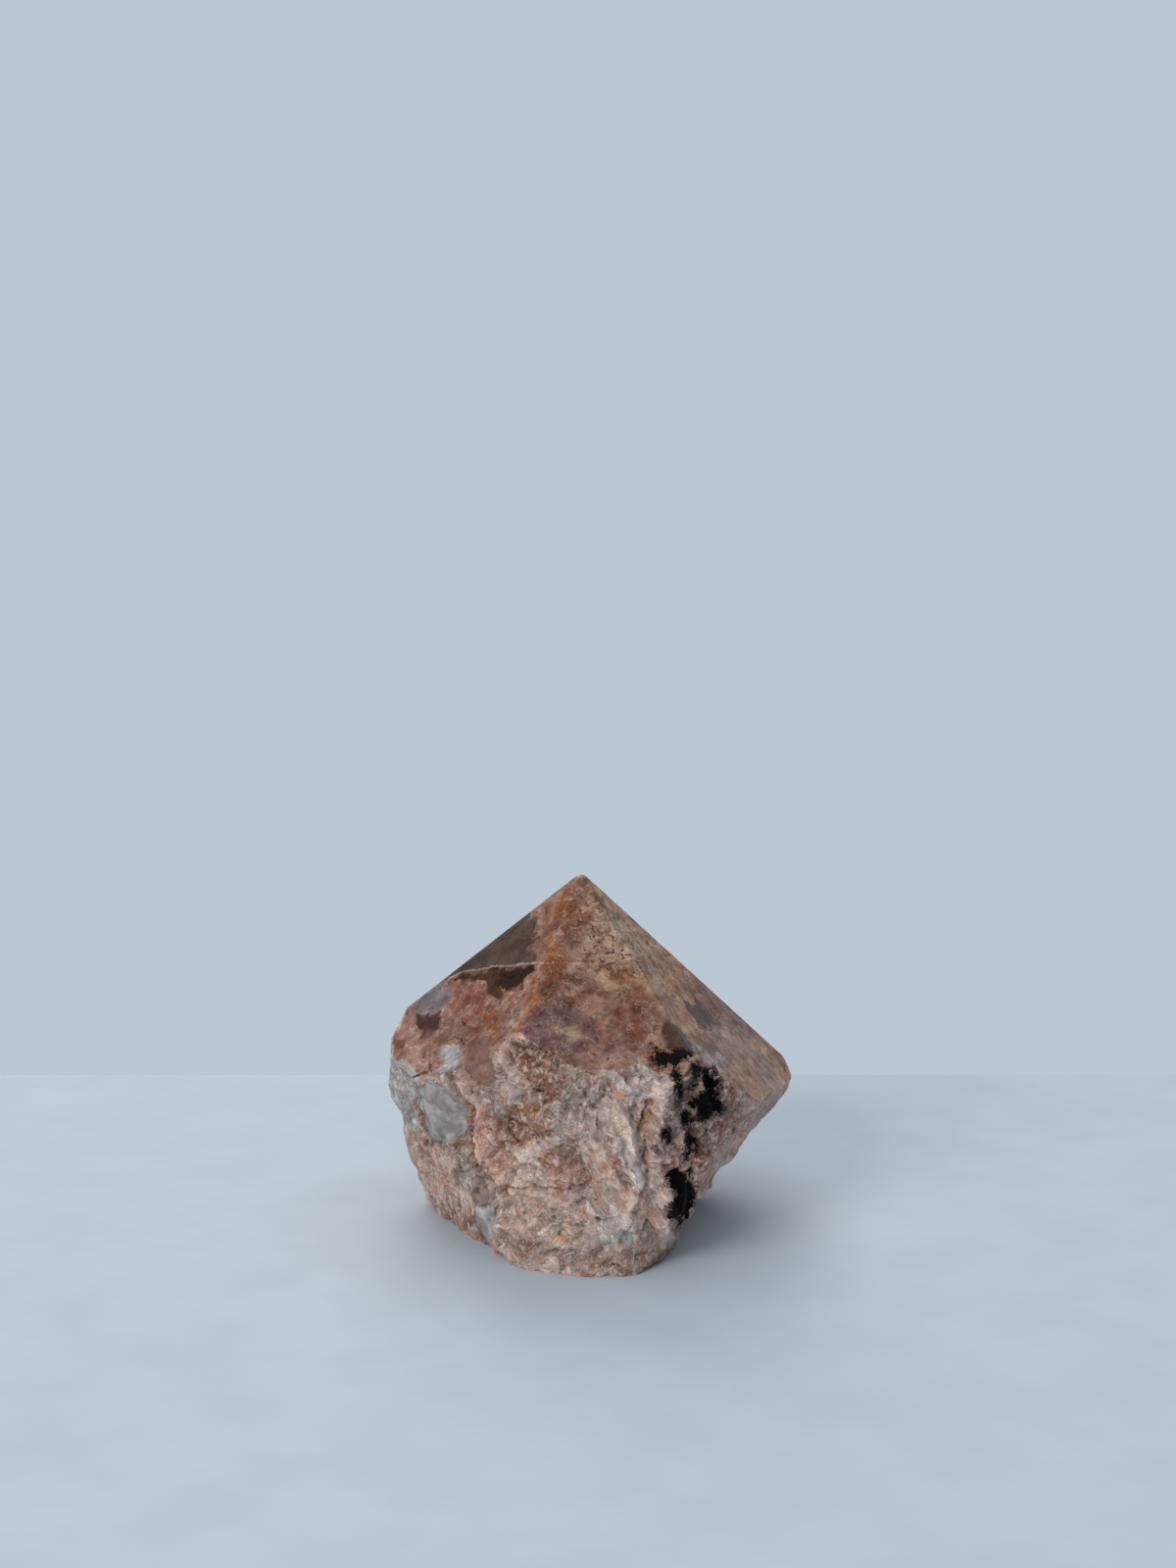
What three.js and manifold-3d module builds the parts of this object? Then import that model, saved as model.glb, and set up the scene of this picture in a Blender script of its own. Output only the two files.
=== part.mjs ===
// A rough moonstone point: one broken lump of feldspar, with smoky quartz and black
// tourmaline grown in it. Its sides are left as they broke, its top is ground to a
// five-sided point, and its foot is sawn flat so that it stands by itself.
// Millimetres, +Z up. The origin is on the sawn foot, at the middle of the footprint box.
// Azimuths are seen from above: 0 is the front (-Y), and they grow towards +X.

import * as THREE from 'three';
import { mergeVertices } from 'three/addons/utils/BufferGeometryUtils.js';
import Module from 'manifold-3d';

// ---- Driving dimensions ---------------------------------------------------------------

const HEIGHT = 60;                                     // sawn foot to the blunted tip
const PEAK = new THREE.Vector3(-1.1, 3.0, 60.5);       // where the five ground facets would meet
const HEART = new THREE.Vector3(0, 0, 27);             // every surface point is in sight of it

// Ground facets, each through PEAK: azimuth of the outward side and slope from level, degrees.
const GROUND_FACETS = [
  { name: 'left', azimuth: -59, slope: 46.7 },
  { name: 'middle', azimuth: 7.5, slope: 44.9 },
  { name: 'right', azimuth: 78.8, slope: 49.2 },
  { name: 'back right', azimuth: 146.1, slope: 47 },
  { name: 'back left', azimuth: -136.8, slope: 45.9 },
];

// Broken faces: azimuth and lean of the outward normal (a negative lean overhangs), degrees,
// and the distance of the face from the middle of the foot, square to the face.
const BROKEN_FACES = [
  { name: 'front left', azimuth: -31, lean: -2, reach: 22.5 },
  { name: 'front left shoulder', azimuth: -31, lean: 12, reach: 30.6 },
  { name: 'front', azimuth: -4, lean: 1.5, reach: 24.6 },
  { name: 'front shoulder', azimuth: 2, lean: 14, reach: 31.5 },
  { name: 'front right', azimuth: 40, lean: -7, reach: 23.1 },
  { name: 'left', azimuth: -61, lean: -15, reach: 19.3 },
  { name: 'far left foot', azimuth: -92, lean: -19, reach: 26.0 },
  { name: 'far left', azimuth: -96, lean: 9, reach: 37.5 },
  { name: 'right underside', azimuth: 65.5, lean: -24.5, reach: 16.2 },
  { name: 'right corner', azimuth: 98, lean: 2, reach: 38.9 },
  { name: 'back left', azimuth: -140, lean: -6, reach: 28.5 },
  { name: 'back left chip', azimuth: -112, lean: 16, reach: 40.5 },
  { name: 'back', azimuth: 178, lean: -4, reach: 28.6 },
  { name: 'back right', azimuth: 135, lean: -33, reach: 20.6 },
  { name: 'back shoulder', azimuth: 160, lean: 20, reach: 38.5 },
];
const OVERHANG = { name: 'overhang behind the right underside', azimuth: 75, lean: -44, reach: 7.9 };
const FOOT_SIDE = { name: 'side of the foot under the overhang', azimuth: 95, lean: -15, reach: 12.6 };
const SAW_ALLOWANCE = [                                // stone that the grinding and sawing take off
  { name: 'rough top', azimuth: 0, lean: 90, reach: 72 },
  { name: 'rough bottom', azimuth: 0, lean: -90, reach: 5 },
];
const EDGE_HARDNESS = 48;                              // higher keeps the broken edges sharper

// Relief of the broken faces: the width of one form and how far it stands out or in.
const SWELL = { width: 17, height: 0.8, seed: 11 };
const BREAKS = { width: 8.5, height: 1.5, step: 1.2, seed: 23 };
const CHIPS = { width: 4.2, height: 0.6, step: 0.8, seed: 37 };
const GRAIN = { width: 2.2, height: 0.16, seed: 41 };

// Single forms on the broken faces: middle, half sizes and how far each stands out.
const FORMS = [
  { name: 'smooth quartz slab', at: [-25.4, -9.0, 23.0], half: [4.6, 4.8, 6.2], rise: 1.0, rim: 0.25 },
  { name: 'crevice behind the slab', at: [-29.5, -3.0, 19.5], half: [3.2, 3.0, 7.5], rise: -0.9, rim: 0.7 },
  { name: 'crevice under the slab', at: [-25.4, -5.6, 15.2], half: [4.4, 3.4, 2.0], rise: -0.8, rim: 0.7 },
  { name: 'step beside the front slab', at: [-19.4, -14.8, 11.5], half: [3.0, 3.2, 9.5], rise: -1.2, rim: 0.5 },
  { name: 'edge of the front slab', at: [-16.4, -18.6, 14.0], half: [3.2, 3.0, 13.0], rise: 0.5, rim: 0.6 },
  { name: 'cavity under the left facet edge', at: [-9.4, -21.4, 37.0], half: [4.2, 4.2, 2.2], rise: -1.8, rim: 0.6 },
  { name: 'chipped edge', at: [-2.0, -23.4, 34.2], half: [6.4, 3.2, 2.0], rise: -0.9, rim: 0.6 },
  { name: 'scoop under the middle facet', at: [8.6, -22.6, 34.6], half: [7.4, 5.4, 4.6], rise: -1.9, rim: 0.8 },
  { name: 'cleft', at: [8.8, -25.2, 25.0], half: [1.8, 3.4, 6.4], rise: -1.5, rim: 0.8 },
  { name: 'ridge of the front', at: [3.6, -25.2, 15.0], half: [3.0, 3.2, 11.0], rise: 0.8, rim: 0.9 },
  { name: 'pit in the front', at: [-12.2, -20.2, 22.6], half: [1.9, 2.6, 2.2], rise: -1.3, rim: 0.8 },
  { name: 'bulge over the ledge', at: [-10.6, -21.0, 17.0], half: [7.4, 3.6, 4.4], rise: 0.7, rim: 0.7 },
  { name: 'hollow under the ledge', at: [-10.4, -20.8, 10.8], half: [6.6, 3.6, 2.3], rise: -0.9, rim: 0.7 },
  { name: 'hollow around the upper tourmaline', at: [18.4, -19.8, 28.0], half: [5.6, 4.6, 6.4], rise: -1.4, rim: 0.8 },
  { name: 'hollow of the foot', at: [9.4, -23.6, 9.0], half: [3.4, 3.4, 7.5], rise: -0.9, rim: 0.8 },
  { name: 'knocked left corner', at: [-34.2, 6.0, 31.6], half: [4.0, 8.0, 6.4], rise: -1.3, rim: 1.2 },
  { name: 'hollow of the back', at: [-4, 30, 24], half: [10, 8, 8], rise: -1.6, rim: 0.9 },
  { name: 'boss of the back', at: [14, 25, 20], half: [8, 7, 7], rise: 1.2, rim: 0.8 },
];

// Black tourmaline grown in the stone: bundles of blunt prisms side by side. Each bundle is
// given by its middle, the way that its crystals point, and their number, width and length.
const TOURMALINES = [
  { name: 'lower bundle', at: [14.5, -19.5, 11.2], axis: [0.05, 0.2, 1], count: 8, width: 2.6, length: 8.8 },
  { name: 'upper bundle', at: [18.3, -18.4, 28.2], axis: [-0.3, 0.1, 1], count: 6, width: 2.3, length: 7.2 },
  { name: 'middle bundle', at: [14.6, -20.2, 22.8], axis: [-0.1, 0.1, 1], count: 4, width: 1.7, length: 6.2 },
  { name: 'bundle at the facet edge', at: [12.4, -20.2, 34.2], axis: [1, 0, -0.35], count: 4, width: 1.8, length: 6.0 },
];
const PRISM_SIDES = 6;
const PRISM_SPREAD = 0.62;                             // spacing of a bundle's crystals, in widths
const GOLDEN_TURN = Math.PI * (3 - Math.sqrt(5));      // lays a bundle out like seeds

const FINENESS = 25;                                   // how finely the lump is divided
const SHORTEST_EDGE = 0.02;                            // slivers from the cuts are closed up to this
const STONE = { color: 0x9c8379, roughness: 0.6, metalness: 0 };

// ---- Directions and faces -------------------------------------------------------------

function outward(azimuth, lean) {
  const turn = THREE.MathUtils.degToRad(azimuth);
  const rise = THREE.MathUtils.degToRad(lean);
  return new THREE.Vector3(
    Math.sin(turn) * Math.cos(rise),
    -Math.cos(turn) * Math.cos(rise),
    Math.sin(rise),
  );
}

function measuredFromHeart(face) {
  const normal = outward(face.azimuth, face.lean);
  return { normal, gap: face.reach - normal.dot(HEART) };
}

// Distance from HEART to the nearest of the faces along a direction, with the edges worn a little.
function nearestFace(direction, faces) {
  let sum = 0;
  for (const { normal, gap } of faces) {
    const approach = normal.dot(direction);
    if (approach > 0) {
      sum += (approach / gap) ** EDGE_HARDNESS;
    }
  }
  return sum ** (-1 / EDGE_HARDNESS);
}

const LUMP = [...BROKEN_FACES, OVERHANG, ...SAW_ALLOWANCE].map(measuredFromHeart);
const FOOT = [...BROKEN_FACES, FOOT_SIDE, ...SAW_ALLOWANCE].map(measuredFromHeart);

// The lump and the foot that carries it, joined with a soft hollow under the overhang.
function brokenReach(direction) {
  const lump = nearestFace(direction, LUMP);
  const foot = nearestFace(direction, FOOT);
  return (lump ** EDGE_HARDNESS + foot ** EDGE_HARDNESS) ** (1 / EDGE_HARDNESS);
}

// ---- Relief ---------------------------------------------------------------------------

// A repeatable number between 0 and 1 for each cell of a lattice.
function cellValue(x, y, z, seed) {
  let mix = Math.imul(x, 374761393) ^ Math.imul(y, 668265263) ^ Math.imul(z, 1440662683);
  mix = Math.imul(mix ^ Math.imul(seed, 1274126177) ^ (mix >>> 15), 1103515245);
  mix = Math.imul(mix ^ (mix >>> 13), 1597334677);
  return ((mix ^ (mix >>> 16)) >>> 0) / 4294967296;
}

// Soft rolling relief between -1 and 1.
function rolling(point, width, seed) {
  const cell = point.clone().divideScalar(width);
  const corner = cell.clone().floor();
  const part = cell.sub(corner);
  const ease = [part.x, part.y, part.z].map((t) => t * t * (3 - 2 * t));
  let value = 0;
  for (const dx of [0, 1]) {
    for (const dy of [0, 1]) {
      for (const dz of [0, 1]) {
        const share = (dx ? ease[0] : 1 - ease[0]) * (dy ? ease[1] : 1 - ease[1]) * (dz ? ease[2] : 1 - ease[2]);
        value += share * cellValue(corner.x + dx, corner.y + dy, corner.z + dz, seed);
      }
    }
  }
  return 2 * value - 1;
}

// Broken relief between about -1 and 1: each cell is one small flat break with its own height
// and tilt, and neighbouring breaks meet in a step that is `step` wide.
function broken(point, { width, step, seed }) {
  const corner = point.clone().divideScalar(width).floor();
  const near = { distance: Infinity, value: 0 };
  const next = { distance: Infinity, value: 0 };
  for (let x = corner.x - 1; x <= corner.x + 1; x += 1) {
    for (let y = corner.y - 1; y <= corner.y + 1; y += 1) {
      for (let z = corner.z - 1; z <= corner.z + 1; z += 1) {
        const random = (salt) => cellValue(x, y, z, seed + salt);
        const middle = new THREE.Vector3(x + random(1), y + random(2), z + random(3)).multiplyScalar(width);
        const away = point.clone().sub(middle);
        const tilt = new THREE.Vector3(random(4) - 0.5, random(5) - 0.5, random(6) - 0.5);
        const distance = away.length();
        const value = (random(7) - 0.5) * 0.9 + tilt.dot(away) * (1.7 / width);
        if (distance < near.distance) {
          Object.assign(next, near);
          Object.assign(near, { distance, value });
        } else if (distance < next.distance) {
          Object.assign(next, { distance, value });
        }
      }
    }
  }
  const share = 0.5 * Math.max(0, 1 - (next.distance - near.distance) / step);
  return near.value * (1 - share) + next.value * share;
}

// How far the single forms stand out at a point of the broken surface.
function formHeight(point) {
  let height = 0;
  for (const { at, half, rise, rim } of FORMS) {
    const away = Math.hypot((point.x - at[0]) / half[0], (point.y - at[1]) / half[1], (point.z - at[2]) / half[2]);
    height += rise * THREE.MathUtils.smoothstep(1 - away, -rim / 2, rim / 2);
  }
  return height;
}

function relief(point) {
  return SWELL.height * rolling(point, SWELL.width, SWELL.seed)
    + BREAKS.height * broken(point, BREAKS)
    + CHIPS.height * broken(point, CHIPS)
    + GRAIN.height * rolling(point, GRAIN.width, GRAIN.seed)
    + formHeight(point);
}

// ---- Solids ---------------------------------------------------------------------------

const wasm = await Module();
wasm.setup();

function solid(geometry) {
  const bare = geometry.clone();
  bare.deleteAttribute('normal');
  bare.deleteAttribute('uv');
  const shared = mergeVertices(bare, 1e-4);
  return new wasm.Manifold(new wasm.Mesh({
    numProp: 3,
    vertProperties: new Float32Array(shared.attributes.position.array),
    triVerts: new Uint32Array(shared.index.array),
  }));
}

// The lump as it broke, before grinding and sawing.
function brokenLump() {
  const geometry = new THREE.IcosahedronGeometry(1, FINENESS);
  const position = geometry.attributes.position;
  for (let i = 0; i < position.count; i += 1) {
    const direction = new THREE.Vector3().fromBufferAttribute(position, i).normalize();
    const surface = direction.clone().multiplyScalar(brokenReach(direction)).add(HEART);
    surface.addScaledVector(direction, relief(surface));
    position.setXYZ(i, surface.x, surface.y, surface.z);
  }
  return solid(geometry);
}

// One tourmaline crystal, upright: a six-sided prism with short sloping ends.
function prism(width, length, turn) {
  const profile = [
    new THREE.Vector2(0, -length / 2),
    new THREE.Vector2(width * 0.28, -length / 2),
    new THREE.Vector2(width / 2, -length * 0.34),
    new THREE.Vector2(width / 2, length * 0.3),
    new THREE.Vector2(width * 0.2, length / 2),
    new THREE.Vector2(0, length / 2),
  ];
  const crystal = new THREE.LatheGeometry(profile, PRISM_SIDES);
  crystal.rotateX(Math.PI / 2);
  crystal.rotateZ(turn);
  return crystal;
}

// A bundle: crystals laid out around its middle, each of its own length, height and slant.
function tourmalineBundle({ at, axis, count, width, length }, order) {
  const along = new THREE.Vector3(...axis).normalize();
  const upright = new THREE.Quaternion().setFromUnitVectors(new THREE.Vector3(0, 0, 1), along);
  const crystals = [];
  for (let i = 0; i < count; i += 1) {
    const random = (salt) => cellValue(i, order, 0, salt);
    const crystal = prism(width * (0.8 + 0.5 * random(1)), length * (0.55 + 0.5 * random(2)), random(3) * Math.PI);
    crystal.rotateX(0.3 * (random(4) - 0.5));
    const out = width * PRISM_SPREAD * Math.sqrt(i);
    crystal.translate(
      out * Math.cos(i * GOLDEN_TURN),
      out * Math.sin(i * GOLDEN_TURN),
      0.4 * length * (random(5) - 0.5),
    );
    crystal.applyQuaternion(upright);
    crystal.translate(...at);
    crystals.push(solid(crystal));
  }
  return crystals;
}

// A block that takes off everything beyond a plane.
const BLOCK = 160;

function beyond(point, normal) {
  const block = new THREE.BoxGeometry(BLOCK, BLOCK, BLOCK);
  block.translate(0, 0, BLOCK / 2);
  block.applyQuaternion(new THREE.Quaternion().setFromUnitVectors(new THREE.Vector3(0, 0, 1), normal));
  block.translate(point.x, point.y, point.z);
  return solid(block);
}

function groundAndSawn(lump) {
  let stone = lump;
  for (const { azimuth, slope } of GROUND_FACETS) {
    stone = stone.subtract(beyond(PEAK, outward(azimuth, 90 - slope)));
  }
  stone = stone.subtract(beyond(new THREE.Vector3(0, 0, HEIGHT), new THREE.Vector3(0, 0, 1)));
  return stone.subtract(beyond(new THREE.Vector3(0, 0, 0), new THREE.Vector3(0, 0, -1)));
}

// The stone without the pockets that a crystal seals against the rock, or crumbs cut loose.
function largestBody(manifold) {
  const bodies = manifold.decompose();
  return bodies.reduce((best, body) => (body.volume() > best.volume() ? body : best));
}

function bufferGeometry(manifold) {
  const { vertProperties, triVerts } = manifold.getMesh();
  const geometry = new THREE.BufferGeometry();
  geometry.setAttribute('position', new THREE.BufferAttribute(vertProperties, 3));
  geometry.setIndex(new THREE.BufferAttribute(triVerts, 1));
  geometry.computeVertexNormals();
  return geometry;
}

// ---- The stone ------------------------------------------------------------------------

let lump = brokenLump();
for (const crystal of TOURMALINES.flatMap(tourmalineBundle)) {
  lump = lump.add(crystal);
}
const geometry = bufferGeometry(largestBody(groundAndSawn(lump)).simplify(SHORTEST_EDGE));

geometry.computeBoundingBox();
const footprint = geometry.boundingBox.getCenter(new THREE.Vector3());
geometry.translate(-footprint.x, -footprint.y, 0);

const moonstone = new THREE.Mesh(geometry, new THREE.MeshStandardMaterial(STONE));
moonstone.name = 'moonstone';

const part = new THREE.Group();
part.add(moonstone);

export default part;
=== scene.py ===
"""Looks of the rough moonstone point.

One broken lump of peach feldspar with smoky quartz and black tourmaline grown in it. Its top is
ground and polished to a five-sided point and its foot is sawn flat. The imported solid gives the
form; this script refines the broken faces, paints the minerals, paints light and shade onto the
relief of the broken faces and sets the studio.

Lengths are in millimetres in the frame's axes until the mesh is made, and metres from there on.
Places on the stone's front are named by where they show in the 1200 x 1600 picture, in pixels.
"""

import math
from collections import namedtuple
from itertools import product

import bpy
import numpy as np
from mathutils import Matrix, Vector, kdtree
from mathutils.bvhtree import BVHTree


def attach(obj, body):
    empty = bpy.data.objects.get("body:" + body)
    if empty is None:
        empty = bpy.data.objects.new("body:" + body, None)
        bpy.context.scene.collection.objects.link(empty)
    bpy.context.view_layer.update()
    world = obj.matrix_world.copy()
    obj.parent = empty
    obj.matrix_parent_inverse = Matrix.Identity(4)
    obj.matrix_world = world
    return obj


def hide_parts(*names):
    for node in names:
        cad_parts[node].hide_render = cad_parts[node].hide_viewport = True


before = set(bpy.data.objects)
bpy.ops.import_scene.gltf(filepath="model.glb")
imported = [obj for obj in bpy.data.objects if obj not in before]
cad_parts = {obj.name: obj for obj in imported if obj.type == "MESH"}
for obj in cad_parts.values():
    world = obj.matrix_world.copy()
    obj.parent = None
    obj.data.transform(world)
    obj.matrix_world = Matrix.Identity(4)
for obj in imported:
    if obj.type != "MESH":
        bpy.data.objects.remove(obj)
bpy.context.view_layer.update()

NODE = "moonstone"
MM = 0.001

# ---- Camera ----

PICTURE = (1200, 1600)  # width and height of the picture, pixels
FOCAL_PX = 2400.0  # focal length, pixels
SENSOR = 36.0  # long side of the sensor
PITCH = math.radians(9.0)  # the camera looks down by this much
CAMERA_FROM_PEAK = np.array([1.1, -386.0, 75.9])
PX_PER_MM = 6.2  # at the stone
CLIP_START = 0.01  # metres

# ---- Mesh ----

DIVISIONS = 93  # of each edge of the icosahedron that the mesh is cut from
SIGHT_POINT = np.array([0.0, -8.0, 25.0])  # every point of the surface is in sight of it
FAR = 200.0  # well outside the stone
FLAT_AREA = 60.0  # mm2: coplanar faces of the solid over this are ground or sawn
FLAT_SEEDS = 200  # the largest faces, from which a flat may start
FLAT_ANGLE = math.radians(0.4)
FLAT_OFFSET = 0.03
SAWN_BELOW = -0.99  # a flat whose normal has a Z below this is the sawn foot,
GROUND_ABOVE = 0.4  # and one with a Z above this is a ground facet
RISE_BEYOND_EDGE = 0.5  # slope of the broken surface where it rises above a flat
RISE_LIMIT = 4.0
ARRIS_HARDNESS = 220.0  # higher keeps the edges between polished facets sharper
SMOOTHING_ROUNDS = 8
SNAP = 0.12  # share of an edge: cuts this near a corner move to it
SHARP_ANGLE = math.radians(30)
NEAR_NOTHING = 1e-9
KEPT = 9.0  # distances are kept on the mesh up to this
NOT_SAWN = -5.0  # mm: depth under the saw cut where it is out of sight

# ---- Minerals: sRGB colours ----

MINERALS = {
    "peach": (156, 126, 114),
    "pink": (164, 134, 126),
    "pale pink": (178, 155, 145),
    "rose": (127, 79, 64),
    "salmon": (162, 120, 104),
    "red brown": (118, 76, 62),
    "facet brown": (134, 98, 84),
    "facet beige": (156, 128, 112),
    "right beige": (192, 153, 125),
    "facet pink": (128, 96, 86),
    "orange brown": (140, 89, 56),
    "ochre": (142, 106, 79),
    "cream": (168, 147, 128),
    "yellow": (184, 164, 138),
    "tan": (160, 144, 136),
    "grey": (146, 138, 137),
    "violet grey": (111, 82, 84),
    "crust": (122, 102, 96),
    "slab grey": (144, 138, 134),
    "glassy rose": (106, 74, 65),
    "white": (190, 179, 170),
    # rusty brown darkened as painted shade in crevices
    "rust": (122, 82, 64),
    "rust and painted crevice shade": (92, 60, 46),
    "plum": (92, 62, 58),
    "smoke": (72, 57, 47),
    "dark smoke": (36, 14, 4),
    "corner brown": (52, 39, 32),
    "oval brown": (136, 114, 106),
    "low grey": (170, 164, 163),
    "facet white": (153, 160, 167),
    "swirl grey": (98, 90, 92),
    "dark plum": (70, 42, 37),
    "band grey": (152, 150, 147),
    "burnt smoke": (62, 38, 23),
    "dark grey": (82, 68, 60),
    "pale crystals": (226, 208, 198),
    # pale rims of broken flakes, with painted highlight
    "pale lips and painted highlight": (240, 226, 210),
    "milky depth": (176, 154, 136),
    "pits": (84, 50, 38),
    "threads": (196, 176, 160),
    "strokes": (80, 50, 38),
    "veins": (206, 194, 186),
    # dark crack lines, and painted shadow lines under ledges
    "cracks_and_ledge_shadows": (52, 30, 25),
    "black": (4, 3, 3),
    "black fibres": (16, 12, 11),
    "grey specks and painted glints": (150, 132, 126),
}
POLISHED_GAIN = np.array([0.87, 0.77, 0.70])  # a polished face shows its minerals deeper
WORN_GAIN = np.array([1.25, 1.28, 1.30])  # than a broken one

# Patches and spots of the front: mineral, strength and softness of the edge (mm). A patch has an
# outline (pixels). A spot is an ellipse: middle, half sizes (pixels) and lean of its first axis
# (degrees, 0 for level, growing downwards).
Patch = namedtuple("Patch", "name mineral strength soft outline")
Spot = namedtuple("Spot", "name mineral strength soft middle half lean", defaults=[0])

RIGHT_FACET_BEIGE = Patch("beige of the right facet", "right beige", 0.8, 1.5,
                          [(604, 900), (703, 1076), (760, 1136), (812, 1100), (610, 880)])
FACET_MARKS = [
    Spot("pink of the left facet", "facet pink", 0.8, 2.0, (463, 1055), (60, 48)),
    Spot("salmon of the left facet", "rose", 0.85, 1.0, (485, 1030), (32, 17), 60),
    Spot("beige band beside the arris", "facet beige", 0.6, 1.0, (530, 1036), (32, 8), 112),
    Patch("stain along the left arris", "orange brown", 0.9, 0.9,
          [(590, 900), (556, 930), (556, 960), (526, 1056), (538, 1052), (578, 984), (574, 962), (588, 915)]),
    Spot("red patch of the middle facet", "red brown", 0.9, 0.9, (572, 950), (14, 12)),
    Spot("mottled cream of the middle facet", "cream", 0.75, 1.6, (636, 956), (48, 18), 48),
    Spot("cream along the right arris", "cream", 0.6, 1.0, (644, 974), (84, 11), 55),
    Spot("ochre of the middle facet", "ochre", 0.85, 1.4, (636, 1003), (25, 18)),
    Spot("pale tongue", "cream", 0.6, 0.5, (620, 1004), (18, 7), 60),
    Spot("plum patch", "plum", 0.35, 0.9, (563, 1008), (17, 13), 50),
    Spot("violet patch", "violet grey", 0.9, 1.6, (574, 1050), (38, 27), 15),
    Spot("white streaks of the violet patch", "cream", 0.6, 0.6, (583, 1053), (17, 7), 20),
    Spot("second violet patch", "violet grey", 0.8, 1.0, (640, 1069), (22, 11)),
    Spot("dark stripe of the middle facet", "red brown", 0.25, 0.8, (594, 1015), (32, 12), 35),
    Spot("beige of the middle facet", "facet beige", 0.5, 1.2, (596, 1006), (26, 13)),
    Spot("red brown of the middle facet", "red brown", 0.95, 1.4, (652, 1036), (22, 19), 60),
    Spot("pink under the middle facet", "pink", 0.4, 1.6, (625, 1078), (25, 15), -10),
    Spot("pink beside the glassy patch", "facet pink", 0.7, 1.2, (676, 1038), (24, 13), 95),
    Spot("red end of the smoky quartz", "red brown", 0.7, 0.8, (459, 1003), (12, 9)),
    Spot("grey round the swirl", "grey", 0.6, 0.9, (444, 1022), (24, 15), -30),
    Spot("dark red beside the swirl", "red brown", 0.8, 0.8, (462, 1022), (12, 7), 100),
    Spot("pink along the left edge", "pink", 0.7, 0.8, (421, 1066), (30, 9), 60),
    Spot("white patch of the left facet", "facet white", 0.9, 0.9, (457, 1086), (17, 12), 90),
    Spot("orange streak of the left facet", "orange brown", 0.6, 0.8, (502, 1051), (16, 6), 80),
    Spot("grey of the right facet", "grey", 0.5, 1.6, (745, 1058), (27, 18), 45),
    Spot("white edge of the right facet", "low grey", 0.9, 1.0, (724, 1078), (21, 9), 25),
    Spot("pink end of the right facet", "pink", 0.6, 1.4, (776, 1096), (26, 15), 45),
]

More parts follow.
